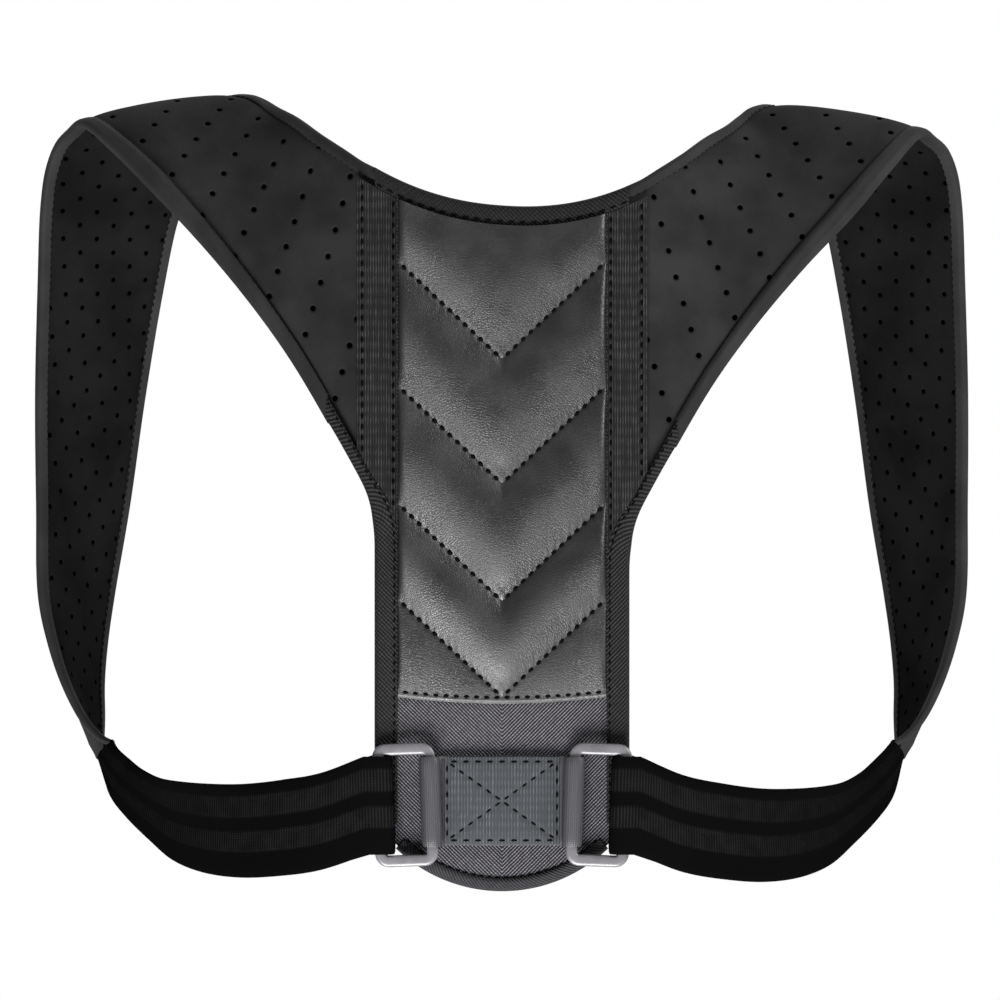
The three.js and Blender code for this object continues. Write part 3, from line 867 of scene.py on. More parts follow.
@dataclass(frozen=True)
class Elastic(Finish):
    """Knitted elastic: near black, with two bands of fine cross ribs between plain bands; the ribs carry a
    painted highlight.

    Across is measured from the upper edge, along from the ring, both in millimetres.
    """

    width: float = FORM.elastic_width
    rib: float = 1.25
    # How far from the ring the ribs' painted highlight holds before it fades, to 0.3 at twice this.
    painted_light_reach: float = 90.0

    def pattern(self, tree: Tree, shader: Node) -> None:
        """Adds lengthwise bands, cross ribs with a painted highlight in two of them, and fine lengthwise
        threads.

        Args:
            tree: the node tree.
            shader: the surface's shader node.
        """
        vector, along, across = self.flat(tree)
        share = self.math(tree, "DIVIDE", across, self.width)
        masks = []
        for low, high in ((0.12, 0.35), (0.5, 0.72)):
            rise = self.ramp(tree, share, low - 0.02, low + 0.02)
            fall = self.ramp(tree, share, high - 0.02, high + 0.02, 1.0, 0.0)
            masks.append(self.math(tree, "MULTIPLY", rise, fall))
        mask = self.math(tree, "ADD", *masks)
        cross = self.wave(tree, along, self.rib)
        cord = self.wave(tree, across, 1.0)
        uneven = self.noise(tree, vector, 7, 4)
        # Painted highlight: the ribs' crests are painted lighter, and less so farther from the ring.
        lit = self.math(tree, "MULTIPLY", mask, self.ramp(tree, cross, 0.25, 0.95, 0.25, 1.0))
        lit = self.math(tree, "MULTIPLY", lit, self.ramp(tree, uneven, 0.3, 0.7, 0.5, 1.0))
        lit = self.math(tree, "MULTIPLY", lit, self.ramp(tree, along, self.painted_light_reach, 2 * self.painted_light_reach, 1.0, 0.3))
        colour = self.blend(tree, lit, srgb(self.base), srgb("1c1c1d"))
        tree.links.new(colour, shader.inputs["Base Color"])
        ridge = self.math(tree, "MULTIPLY", cross, mask)
        height = self.math(tree, "ADD", ridge, self.math(tree, "MULTIPLY", cord, 0.35))
        height = self.math(tree, "ADD", height, self.math(tree, "MULTIPLY", mask, 0.8))
        self.bump(tree, shader, height, 0.22)


@dataclass(frozen=True)
class Plastic(Finish):
    """Moulded acetal: satin grey with soft highlights along its rounded bars and a faint moulded texture."""

    def pattern(self, tree: Tree, shader: Node) -> None:
        """Adds a faint texture and tone.

        Args:
            tree: the node tree.
            shader: the surface's shader node.
        """
        place = add(tree, "TexCoord").outputs["Object"]
        fine = self.noise(tree, place, 0.5 * MM, 2.0)
        tone = self.noise(tree, place, 12 * MM)
        colour = self.blend(tree, self.ramp(tree, tone, 0.3, 0.7), self.shade(0.85), self.shade(1.15))
        tree.links.new(colour, shader.inputs["Base Color"])
        rough = self.ramp(tree, tone, 0.2, 0.8, self.rough - 0.05, self.rough + 0.07)
        tree.links.new(rough, shader.inputs["Roughness"])
        self.bump(tree, shader, fine, 0.02)


@dataclass(frozen=True)
class Thread(Finish):
    """Bonded sewing thread: dull, slightly glossy strands, drawn as short plump stitches."""

    def pattern(self, tree: Tree, shader: Node) -> None:
        """Adds a faint twist.

        Args:
            tree: the node tree.
            shader: the surface's shader node.
        """
        place = add(tree, "TexCoord").outputs["Object"]
        self.bump(tree, shader, self.noise(tree, place, 0.4 * MM, 1.0), 0.05)


# Moulded and knit faced: a matte near black that barely shines, so the holes read as the only marks.
NEOPRENE = Neoprene("perforated_neoprene_knit_faced", "232323", 0.85, gloss=0.08)
# The inner face's brushed knit: darker still, with its holes in closer, steeper rows.
LINING = Neoprene(
    "perforated_neoprene_lining",
    "121212",
    0.9,
    gloss=0.02,
    hole_step=(2.4, -16.4),
    row_step=(7.4, -8.2),
    hole_radius=1.0,
)
# The same cloth folded round the edge: no holes, and a faint light along its roll.
EDGE_BAND = Neoprene("folded_neoprene_edge", "222222", 0.7, gloss=0.15, holes=False)
# Coated and buffed leather: broad satin highlights on the channels' crowns and deep dark between them.
LEATHER = Leather("leather_quilted_satin", "0e0e0e", 0.43, gloss=0.8)
# Herringbone twill of two greys: it reads as fine pale threads that meet on the centre line.
TWILL = Woven(
    "polyester_twill_coarse",
    "19181b",
    0.7,
    line="76747a",
    weave=Weave.HERRINGBONE,
    pitch=1.05,
    thread=1.3,
    relief=0.35,
)
# The same twill folded on itself: darker, since its pale threads turn away from the light.
PIPING = Woven("polyester_twill_piping", "18181a", 0.7, line="424246", weave=Weave.TWILL_LEFT, pitch=1.1)
# Woven binding tape: black with a dull grey slant of threads.
TAPE = Woven(
    "polyester_binding_tape", "090909", 0.75, line="323232", weave=Weave.TWILL_LEFT, pitch=1.2, thread=1.4
)
# A denser tape of the same kind, which looks almost plain black.
NECK_TAPE = Woven(
    "polyester_neck_tape", "090909", 0.75, line="252527", weave=Weave.TWILL_RIGHT, pitch=1.2, thread=1.6
)
# Ribbed tape: upright dark cords with broken grey crowns.
SEAM_TAPE = Woven(
    "polyester_ribbed_seam_tape", "111111", 0.75, line="3e3e3f", weave=Weave.RIB, pitch=1.05, thread=4.3
)
# Ribbed webbing in grey yarn: cool, with a low shine on each rib.
WEBBING = Woven(
    "polyester_webbing_ribbed", "35373a", 0.6, line="575a5e", weave=Weave.RIB, pitch=1.25, thread=3.3
)
# Smooth webbing pulled tight round a bar: a soft highlight along the fold.
LOOP = Woven(
    "polyester_webbing_smooth",
    "323135",
    0.45,
    gloss=0.5,
    line="424145",
    weave=Weave.RIB,
    pitch=0.8,
    relief=0.12,
)
# Knitted elastic: the darkest cloth, with two bands of faint ribs that carry a painted highlight, and no
# gloss.
ELASTIC = Elastic("knitted_elastic_ribbed", "080808", 0.85, gloss=0.0)
# Moulded acetal: mid grey satin with a clear soft highlight on the rounded bars.
PLASTIC = Plastic("acetal_moulded_satin", "605e62", 0.3, gloss=0.7)
# Brushed hook and loop tab: flat black.
HOOK = Woven("hook_and_loop_tab", "0b0b0c", 0.95, line="1a1a1b", weave=Weave.RIB, pitch=0.9)
# Bonded black thread: dark dashes with hardly any shine.
BLACK_THREAD = Thread("sewing_thread_black", "020202", 0.7, gloss=0.05)


def stitches(
    name: str,
    line: Array | list[Array],
    normal: Array | list[Array],
    finish: Finish,
    slot: str,
    pitch: float = 3.0,
    share: float = 0.62,
    radius: float = 0.32,
    lift: float = 0.12,
) -> Piece:
    """Makes a row of stitches as one piece.

    Each stitch is an ellipsoid on a small grid of angles, its long axis along the row, its pole rings
    drawn to a point, and its middle a little above the cloth.

    Args:
        name: the piece's name.
        line: the row's points, one per row, or several rows in a list.
        normal: the cloth's outward direction at each point, in the same layout.
        finish: the thread.
        slot: the record's material slot.
        pitch: distance from stitch to stitch.
        share: the share of the pitch that shows as thread.
        radius: half the thread's thickness.
        lift: how far the stitch's middle stands above the line.

    Returns:
        The object.
    """
    lines, normals = (line, normal) if isinstance(line, list) else ([line], [normal])
    centres, ways, outs = [], [], []
    for points, out in zip(lines, normals):
        out = np.broadcast_to(out, points.shape)
        total = arc_length(points)[-1]
        count = max(int(total / pitch), 1)
        places = (np.arange(count) + 0.5) * total / count
        centres.append(at_lengths(points, places))
        ahead = at_lengths(points, np.minimum(places + 0.5, total))
        behind = at_lengths(points, np.maximum(places - 0.5, 0))
        ways.append(unit(ahead - behind))
        along = arc_length(points)
        outs.append(unit(np.stack([np.interp(places, along, out[:, k]) for k in range(3)], axis=1)))
    centre, way, out = (np.vstack(part) for part in (centres, ways, outs))
    centre = centre + out * lift
    side = unit(np.cross(way, out))
    out = np.cross(side, way)
    turns, rings = 6, 5
    polar = np.linspace(0.25, math.pi - 0.25, rings)
    angle = np.arange(turns) * 2 * math.pi / turns
    long = -np.cos(polar)[:, None] * np.ones(turns) * pitch * share / 2
    wide = np.sin(polar)[:, None] * np.cos(angle) * radius
    high = np.sin(polar)[:, None] * np.sin(angle) * radius
    shape = (long[..., None], wide[..., None], high[..., None])
    points = sum(part[None] * axis[:, None, None, :] for part, axis in zip(shape, (way, side, out)))
    points = points + centre[:, None, None, :]
    row, column = np.meshgrid(np.arange(rings - 1) * turns, np.arange(turns), indexing="ij")
    after = (column + 1) % turns
    shell = [row + column, row + turns + column, row + turns + after, row + after]
    shell = np.stack(shell, axis=-1).reshape(-1, 4)
    low_cap = np.array([[0, 1, 2, 3], [0, 3, 4, 5]])
    high_cap = low_cap[:, ::-1] + (rings - 1) * turns
    quads = np.concatenate([shell, low_cap, high_cap])
    every = (np.arange(len(centre)) * rings * turns)[:, None, None] + quads[None]
    piece = make_piece(name, points.reshape(-1, 3), every.reshape(-1, 4), sharp=180)
    return dress(piece, finish, slot)


@dataclass
class Edges:
    """Both edges of a strap, how far it bows between them, and its outward normals, station by station."""

    arm: Array
    neck: Array
    bow: Array
    side: Side

    @property
    def middles(self) -> Array:
        """The line midway between the edges."""
        return (self.arm + self.neck) / 2

    def normals(self) -> Array:
        """Outward normals, from the line across and the way along the middle."""
        return unit(np.cross(self.neck - self.arm, np.gradient(self.middles, axis=0)) * -self.side.value)

    def seam_normals(self, per_row: int) -> Array:
        """Outward normals that start straight out of the panel and soon turn to the strap's own.

        Args:
            per_row: stations for each row of the strap's tables.

        Returns:
            One normal per station.
        """
        normals = self.normals()
        turned = smoothstep(0, per_row / 2, np.arange(len(normals)))[:, None]
        return unit(mix(OUT, normals, turned))

    def flat(self, shares: Array) -> Array:
        """Flat coordinates of a grid of places, as the cloth was cut.

        The middle line is laid out with the turning that it has within the surface, and each line across
        keeps its length and its angle to it.

        Args:
            shares: places across, from 0 at the arm edge to 1 at the neck edge.

        Returns:
            Millimetres along and across, stations by places.
        """
        middle, normal = self.middles, self.normals()
        way = unit(np.gradient(middle, axis=0))
        side = np.cross(normal, way)
        after, before = way[1:], way[:-1]
        turn = np.arctan2(np.einsum("ij,ij->i", after, side[:-1]), np.einsum("ij,ij->i", after, before))
        heading = np.concatenate([[0], np.cumsum(turn)])
        across = self.neck - self.arm
        angle = heading + np.arctan2(np.einsum("ij,ij->i", across, side), np.einsum("ij,ij->i", across, way))
        step = np.linalg.norm(np.diff(middle, axis=0), axis=1)
        half_way = (heading[1:] + heading[:-1]) / 2
        run = step[:, None] * np.stack([np.cos(half_way), np.sin(half_way)], axis=1)
        spot = np.vstack([np.zeros(2), np.cumsum(run, axis=0)])
        reach = np.linalg.norm(across, axis=1)[:, None] * (np.asarray(shares) - 0.5)
        ray = np.stack([np.cos(angle), np.sin(angle)], axis=1)
        return spot[:, None, :] + reach[..., None] * ray[:, None, :]


@dataclass
class Frames:
    """A run of frames along a bound edge: points, ways in over the face, and normals."""

    point: Array
    inward: Array
    normal: Array

    def place(self, inwards: Array, lift: Array) -> Array:
        """Points at distances in from the edge and above the middle.

        Args:
            inwards: distances along the way in, one per column, for all frames or for each.
            lift: distances along the normal, in the same layout.

        Returns:
            Points, frames by columns.
        """
        inwards, lift = (np.asarray(v, float)[..., None] for v in (inwards, lift))
        return self.point[:, None] + self.inward[:, None] * inwards + self.normal[:, None] * lift


def edge_frames(points: Array, others: Array, normals: Array, bow: Array) -> Frames:
    """Frames along one edge of a strap's core.

    The way in follows the line across, rises with the bow, and is lengthened where that line is slanted
    to the edge.

    Args:
        points: the bound edge.
        others: the other edge.
        normals: the strap's outward normals.
        bow: how far the strap bows.

    Returns:
        The frames, whose points lie on the core's edge.
    """
    across = others - points
    width = np.linalg.norm(across, axis=1, keepdims=True)
    across = across / width
    slope = FORM.bow_slope * bow[:, None] / width
    slant = np.linalg.norm(np.cross(across, unit(np.gradient(points, axis=0))), axis=1, keepdims=True)
    inward = unit(across + normals * slope) / np.maximum(slant, 0.4)
    return Frames(points + inward * FORM.bind_grow, inward, unit(normals - across * slope))


def folded_tape(
    name: str,
    frames: Frames,
    reach: Array | float,
    half: Array | float,
    thick: Array | float = FORM.bind_thick,
    puff: Array | float = 0.25,
    squash: float = 0.8,
    rounding: Array | float = 1.9,
) -> Piece:
    """Makes a folded tape round an edge.

    Its section is one curve that runs in over one face, round the edge and back over the other. The outer
    side swells by a sine of the distance in, and is drawn down at both ends, where it is sewn, by the
    root of one minus a power. The turn round the edge is half an ellipse.

    Args:
        name: the piece's name.
        frames: the edge's frames.
        reach: how far it reaches in over each face, at each frame.
        half: half the core's thickness.
        thick: the tape's own thickness.
        puff: how far its outer side swells.
        squash: share of its thickness that it keeps at its sewn ends.
        rounding: how deep the turn round the edge is.

    Returns:
        The object.
    """
    count = len(frames.point)
    reach, half, thick, puff, rounding = (
        np.broadcast_to(np.asarray(v, float), (count,))[:, None] for v in (reach, half, thick, puff, rounding)
    )
    near = half + FORM.bind_gap
    start = np.minimum(rounding - FORM.bind_grow, reach * 0.7)
    ease = np.cos(np.linspace(0, math.pi / 2, 9))
    inwards = start + (reach - start) * ease
    drawn = squash + (1 - squash) * np.sqrt(1 - ease**4)
    top = near + (thick + puff * np.sin(math.pi * ease)) * drawn
    turn = np.linspace(math.pi / 2, -math.pi / 2, 13)[1:-1]
    outer_in = np.hstack([inwards, start - (start + FORM.bind_grow) * np.cos(turn), inwards[:, ::-1]])
    outer_lift = np.hstack([top, (near + thick) * np.sin(turn), -top[:, ::-1]])
    level = np.tile(near, (1, 9))
    inner_in = np.hstack([inwards, start - (start + FORM.bind_gap) * np.cos(turn), inwards[:, ::-1]])
    inner_lift = np.hstack([level, near * np.sin(turn), -level])
    outer, inner = frames.place(outer_in, outer_lift), frames.place(inner_in, inner_lift)
    along = arc_length(frames.point)
    across = np.cumsum(np.hypot(np.diff(outer_in, axis=1), np.diff(outer_lift, axis=1)), axis=1)
    across = np.hstack([np.zeros((count, 1)), across])
    uv = np.stack(np.broadcast_arrays(along[:, None], across), axis=-1)
    return slab_piece(name, outer, inner, uv, sharp=50)


def eased(values: Array, reach: int) -> Array:
    """Rows of values smoothed by two moving averages, with both ends kept.

    Args:
        values: one row per station.
        reach: how many rows each side an average takes in.

    Returns:
        The smoothed rows.
    """
    kernel = np.ones(2 * reach + 1) / (2 * reach + 1)
    kernel = np.convolve(kernel, kernel)
    pad = 2 * reach
    head = 2 * values[0] - values[pad:0:-1]
    tail = 2 * values[-1] - values[-2 : -pad - 2 : -1]
    longer = np.vstack([head, values, tail])
    return np.stack([np.convolve(longer[:, k], kernel, mode="valid") for k in range(values.shape[1])], axis=1)


def resampled(frames: Frames, step: float) -> tuple[Frames, Array]:
    """The same frames at even steps, which keeps a tape's weave and shape even.

    Args:
        frames: frames along an edge.
        step: the distance wanted between them.

    Returns:
        The new frames, and where each lies among the old ones.
    """
    along = arc_length(frames.point)
    places = np.linspace(0, along[-1], max(int(along[-1] / step), 2) + 1)
    parts = [
        np.stack([np.interp(places, along, part[:, k]) for k in range(3)], axis=1)
        for part in (frames.point, frames.inward, frames.normal)
    ]
    return Frames(*parts), np.interp(places, along, np.arange(len(along)))


# How the edge bands change along a strap, by row of its tables: how far they reach in over its faces,
# how thick and puffed the arm band is, and how far everything thins towards the elastic.
BAND_ROWS = rows(
    "row arm_reach neck_reach thick puff rounding thin",
    [
        (0, 4.6, 3.4, 1.0, 0.5, 3.0, 1),
        (3, 5.0, 3.4, 1.0, 0.7, 3.2, 1),
        (6, 7.0, 3.4, 1.1, 0.9, 3.4, 1),
        (7, 6.0, 3.5, 0.9, 0.5, 3.0, 1),
        (8, 4.8, 3.6, 0.6, 0.1, 2.4, 1),
        (10, 3.6, 3.6, 0.5, 0.0, 2.0, 1),
        (16, 3.6, 3.6, 0.5, 0.0, 2.0, 1),
        (19, 3.4, 3.0, 0.6, 0.1, 1.8, 0.6),
        (21, 2.4, 2.4, 0.4, 0, 1.5, 0.45),
    ],
)


def band_at(name: str, row: Array) -> Array:
    """A column of the band table at any place between its rows.

    Args:
        name: the column.
        row: places, counted in rows of the strap's tables.

    Returns:
        The values.
    """
    return np.interp(row, BAND_ROWS["row"], BAND_ROWS[name])


@dataclass
class ShoulderStrap:
    """One padded shoulder strap, from its seam at the panel over the shoulder to the elastic.

    per_row is how many stations each row of the tables gets, and columns how many places lie across the
    padded field.
    """

    side: Side
    per_row: int = 8
    columns: int = 30
    field_groove: float = 1.2
    inset: float = 0.4
    slim: float = 0.9

    def pairs(self) -> tuple[Array, Array, Array]:
        """Arm edge, neck edge and bow at each row of the two tables.

        Returns:
            Two arrays of points and one of bows.
        """
        right = self.side is Side.RIGHT
        drop = FORM.right_drop if right else 0.0
        pull = FORM.right_pull if right else 0.0
        swing = 0.0 if right else FORM.left_swing
        sign = self.side.value
        yoke, chest = YOKE_ROWS, CHEST_ROWS
        seam_middle = FORM.neck_rise - FORM.neck_level - FORM.seam_height / 2
        crest_rise = FORM.strap_thick / 2
        across = np.concatenate(
            [
                mix(FORM.core_half + FORM.gap, FORM.crest_span, yoke["across"]),
                mix(FORM.crest_span, FORM.side_span - pull, chest["across"]),
            ]
        )
        forward = np.concatenate(
            [mix(FORM.panel_middle, 0, yoke["forward"]), FORM.chest_depth * chest["forward"]]
        )
        high = np.concatenate(
            [
                mix(seam_middle, crest_rise, yoke["rise"]),
                mix(crest_rise, -FORM.join_level, chest["fall"]) - chest["drop"] * drop,
            ]
        )
        width = np.concatenate(
            [
                mix(FORM.seam_height, FORM.strap_width, yoke["narrow"]),
                mix(FORM.strap_width, FORM.elastic_width, chest["narrow"]),
            ]
        )
        turn = np.radians(np.concatenate([yoke["turn"], chest["turn"] + swing * chest["fall"]]))
        tilt = np.radians(np.concatenate([yoke["tilt"], chest["tilt"]]))
        aim = np.stack([-sign * np.cos(tilt) * np.cos(turn), np.cos(tilt) * np.sin(turn), np.sin(tilt)], 1)
        middle = np.stack([sign * across, forward, high], axis=1)
        arm, neck = middle - aim * width[:, None] / 2, middle + aim * width[:, None] / 2
        count = len(yoke)
        arm[:count, 2] -= yoke["arm_drop"] * drop
        neck[:count, 2] -= yoke["neck_drop"] * drop
        return arm, neck, np.concatenate([yoke["bow"], chest["bow"]]) * FORM.strap_bow

    def edges(self) -> Edges:
        """The strap's smooth edges."""
        arm, neck, bow = self.pairs()
        place = np.linspace(0, len(bow) - 1, (len(bow) - 1) * self.per_row + 1)
        smooth_bow = np.interp(place, np.arange(len(bow)), bow)
        return Edges(catmull_rom(arm, self.per_row), catmull_rom(neck, self.per_row), smooth_bow, self.side)

    def build(self) -> Edges:
        """Makes the padded field and its edge bands.

        Returns:
            The strap's edges, for the pieces that join it.
        """
        edges = self.edges()
        normals = edges.seam_normals(self.per_row)
        arm = edge_frames(edges.arm, edges.neck, normals, edges.bow)
        neck = edge_frames(edges.neck, edges.arm, normals, edges.bow)
        self.field_piece(edges, normals, arm, neck)
        self.bands(arm, neck)
        return edges

    def field_piece(self, edges: Edges, normals: Array, arm: Frames, neck: Frames) -> None:
        """Makes the padded field.

        Between the bands its half thickness grows from the sewn edge to the padded middle by one minus a
        power of the distance from the middle, and its middle surface bows out by a parabola.

        Args:
            edges: the strap's edges.
            normals: its outward normals.
            arm: frames along its arm edge.
            neck: frames along its neck edge.
        """
        row = np.arange(len(normals)) / self.per_row
        thin = band_at("thin", row)[:, None]
        arm_reach, neck_reach = (band_at(f"{edge}_reach", row)[:, None] for edge in ("arm", "neck"))
        first = arm.point + arm.inward * (arm_reach + self.inset)
        last = neck.point + neck.inward * (neck_reach + self.inset)
        share = (1 - np.cos(math.pi * np.linspace(0, 1, self.columns))) / 2
        share = mix(np.linspace(0, 1, self.columns), share, 0.5)
        rise = np.minimum(np.einsum("ij,ij->i", arm.inward, normals) * arm_reach[:, 0], edges.bow)
        lift = 4 * share * (1 - share) * (edges.bow - rise)[:, None]
        fill = (1 - np.abs(2 * share - 1) ** 5) ** 0.5
        half = mix(FORM.edge_thick - self.field_groove, FORM.strap_thick, fill) / 2 * thin
        middle = mix(first[:, None], last[:, None], share[:, None]) + normals[:, None] * lift[..., None]
        near = np.where((share < 0.5)[None, :, None], arm.normal[:, None], neck.normal[:, None])
        out = unit(mix(near, normals[:, None], fill[:, None]))
        edge = (FORM.edge_thick - self.field_groove) / 2 * thin
        faces = []
        for sense in (1, -1):
            body = middle + out * (sense * half)[..., None]
            start = (arm.point + arm.normal * sense * edge)[:, None]
            end = (neck.point + neck.normal * sense * edge)[:, None]
            faces.append(np.concatenate([start, body, end], axis=1))
        width = np.linalg.norm(edges.neck - edges.arm, axis=1).mean()
        ends = np.array([FORM.arm_reach, FORM.neck_reach]) / width
        places = np.concatenate([[0], mix(ends[0], 1 - ends[1], share), [1]])
        flat = edges.flat(places) * (1, -self.side.value)
        name = f"strap_field_{self.side.label}"
        piece = slab_piece(name, faces[0], faces[1], flat, sharp=60)
        count = (len(normals) - 1) * (self.columns + 1)
        nodes = f"shoulder_strap_{self.side.label}"
        dress(piece, NEOPRENE, "neoprene", nodes, lining=LINING, lined=(count, 2 * count))

    def bands(self, arm: Frames, neck: Frames) -> None:
        """Makes the folded bands along both edges, and the stitches beside them.

        Args:
            arm: frames along the arm edge.
            neck: frames along the neck edge.
        """
        label = self.side.label
        for name, whole, first in (("arm", arm, 2 * self.per_row), ("neck", neck, 0)):
            cut = Frames(*(part[first:] for part in (whole.point, whole.inward, whole.normal)))
            frames, place = resampled(cut, 2.0)
            row = (place + first) / self.per_row
            frames.point[0] += unit(frames.point[1] - frames.point[0]) * FORM.gap
            thin = band_at("thin", row)
            reach = band_at(f"{name}_reach", row)
            slim = self.slim if name == "neck" else np.interp(row, (6, 8), (0, self.slim))
            half = (FORM.edge_thick / 2 - slim) * thin
            puff = band_at("puff", row) * (1 if name == "arm" else 0.2)
            thick = band_at("thick", row) * (1 if name == "arm" else 0.7)
            rounding = band_at("rounding", row) * (1 if name == "arm" else 0.7)
            piece = folded_tape(f"{name}_band_{label}", frames, reach, half, thick, puff, 0.2, rounding)
            dress(piece, EDGE_BAND, "edge_band", f"{name}_edge_{label}")
            lines, normals = [], []
            for sense in (1, -1):
                lift = (half + FORM.bind_gap + 0.2 * thick) * sense
                lines.append(frames.place((reach - 0.3)[:, None], lift[:, None])[:, 0])
                normals.append(frames.normal * sense)
            row_name = f"{name}_stitches_{label}"
            stitches(row_name, lines, normals, BLACK_THREAD, "edge_band", pitch=3.2, radius=0.3)


@dataclass
class SideStrap:
    """The elastic under one arm, over its ring's outer bar and back behind itself, and its hook tab."""

    side: Side
    per_row: int = 8
    columns: int = 20
    tucked: float = 0.8
    fold_radius: float = 3.2
    fold_steps: int = 18
    tail_length: float = 42.0
    hook_length: float = 26.0
    hook_thick: float = 1.1

    def upright(self, across: Array, forward: Array) -> tuple[Array, Array]:
        """Edges of the elastic where it stands upright at the ring.

        Args:
            across: distances from the centre line.
            forward: places forward of the seat.

        Returns:
            Arm edge and neck edge points.
        """
        sign, half = self.side.value, FORM.elastic_width / 2
        edges = []
        for level in (half - FORM.ring_level, -half - FORM.ring_level):
            x = sign * (np.atleast_1d(across) + FORM.lean_at(level))
            edges.append(np.stack(np.broadcast_arrays(x, forward, level), axis=-1).astype(float))
        return edges[0], edges[1]

    def under(self, strap: Edges) -> Edges:
        """The stretch from the join to the ring.

        Args:
            strap: the shoulder strap's edges.

        Returns:
            The elastic's edges.
        """
        sign = self.side.value
        last_arm, last_neck = strap.arm[-1], strap.neck[-1]
        onward = unit(np.cross(strap.normals()[-1], last_neck - last_arm) * sign) * self.tucked
        arm_start, neck_start = last_arm + onward, last_neck + onward
        start = (arm_start + neck_start) / 2
        entry_across = FORM.ring_span + FORM.ring_width / 2 + self.fold_radius
        entry = np.array([sign * entry_across, FORM.front_layer, -FORM.ring_level])
        table = ELASTIC_ROWS
        sag = FORM.side_sag + (FORM.right_sag if self.side is Side.RIGHT else 0)
        middle = np.stack(
            [
                mix(start[0], entry[0], table["across"]),
                mix(start[1], entry[1], table["back"]),
                mix(start[2], entry[2], table["across"]) - sag * table["sag"],
            ],
            axis=1,
        )
        turn, tilt = np.radians(table["turn"]), np.radians(table["tilt"])
        aim = np.stack([-sign * np.cos(tilt) * np.cos(turn), np.cos(tilt) * np.sin(turn), np.sin(tilt)], 1)
        half = FORM.elastic_width / 2
        end_arm, end_neck = self.upright(entry_across, FORM.front_layer)
        arm = np.vstack([arm_start, middle - aim * half, end_arm])
        neck = np.vstack([neck_start, middle + aim * half, end_neck])
        bow = np.concatenate([[strap.bow[-1]], table["bow"] * FORM.strap_bow, [0]])
        place = np.linspace(0, len(bow) - 1, (len(bow) - 1) * self.per_row + 1)
        smooth = np.interp(place, np.arange(len(bow)), bow)
        return Edges(catmull_rom(arm, self.per_row), catmull_rom(neck, self.per_row), smooth, self.side)

    def behind(self, under: Edges, start: float, end: float, depth: float, count: int = 14) -> Edges:
        """A layer behind the elastic, from one distance before the ring to another.

        Args:
            under: the stretch that it lies behind.
            start: its nearer distance from the ring.
            end: its farther distance.
            depth: how far behind the elastic's middle it lies.
            count: how many stations it gets.

        Returns:
            The layer's edges.
        """
        normals = under.normals()
        middle = under.middles[::-1]
        wanted = np.linspace(start, end, count)
        along = arc_length(middle)
        normal = np.stack([np.interp(wanted, along, normals[::-1][:, k]) for k in range(3)], axis=1)
        shift = -unit(normal) * depth
        parts = [
            np.stack([np.interp(wanted, along, edge[::-1][:, k]) for k in range(3)], axis=1) + shift
            for edge in (under.arm, under.neck)
        ]
        return Edges(parts[0], parts[1], np.zeros(count), self.side)

    def band(self, name: str, edges: Edges, thick: float, inset: float = 0.0) -> Piece:
        """Makes a thin band between two edges, with rounded sides.

        Its half thickness is one minus a high power of the distance from the middle.

        Args:
            name: the piece's name.
            edges: the band's edges.
            thick: its thickness.
            inset: how far it stops short of both edges.

        Returns:
            The object.
        """
        share = (1 - np.cos(math.pi * np.linspace(0, 1, self.columns))) / 2
        share = mix(np.linspace(0, 1, self.columns), share, 0.6)
        width = np.linalg.norm(edges.neck - edges.arm, axis=1).mean()
        place = mix(inset / width, 1 - inset / width, share)
        half = thick / 2 * np.sqrt(np.clip(1 - np.abs(2 * share - 1) ** 16, 0.12, 1))
        normals = edges.normals()
        bow = 4 * place * (1 - place) * edges.bow[:, None]
        middle = mix(edges.arm[:, None], edges.neck[:, None], place[:, None])
        middle = middle + normals[:, None] * bow[..., None]
        faces = [middle + normals[:, None] * (sense * half)[None, :, None] for sense in (1, -1)]
        along = arc_length(edges.middles)
        uv = np.stack(np.broadcast_arrays((along[-1] - along)[:, None], place * width), axis=-1)
        return slab_piece(name, faces[0], faces[1], uv, sharp=60)

    def build(self, strap: Edges) -> None:
        """Makes the elastic and its hook tab.

        Args:
            strap: the shoulder strap's edges.
        """
        label = self.side.label
        under = self.under(strap)
        hook_depth = FORM.elastic_thick / 2 + FORM.gap + self.hook_thick / 2
        angle = np.linspace(0, math.pi, self.fold_steps)
        ring_edge = FORM.ring_span + FORM.ring_width / 2
        fold_span = ring_edge - FORM.ring_bar + FORM.gap
        fold_arm, fold_neck = self.upright(
            fold_span - self.fold_radius * np.sin(angle),
            FORM.front_layer + self.fold_radius * (1 - np.cos(angle)),
        )
        out_arm, out_neck = self.upright(ring_edge, FORM.front_layer + 2 * self.fold_radius)
        tail = self.behind(under, self.tail_length / 5, self.tail_length, 2 * hook_depth)
        arm = np.vstack([under.arm, fold_arm, out_arm, tail.arm])
        neck = np.vstack([under.neck, fold_neck, out_neck, tail.neck])
        bow = np.concatenate([under.bow, np.zeros(len(arm) - len(under.arm))])
        whole = Edges(arm, neck, bow, self.side)
        piece = self.band(f"elastic_{label}", whole, FORM.elastic_thick)
        dress(piece, ELASTIC, "elastic", f"side_strap_{label}")
        hook = self.behind(under, self.tail_length / 4, self.tail_length / 4 + self.hook_length, hook_depth)
        tab = self.band(f"hook_pad_{label}", hook, self.hook_thick, FORM.elastic_width / 12)
        dress(tab, HOOK, "tape", f"hook_tab_{label}")


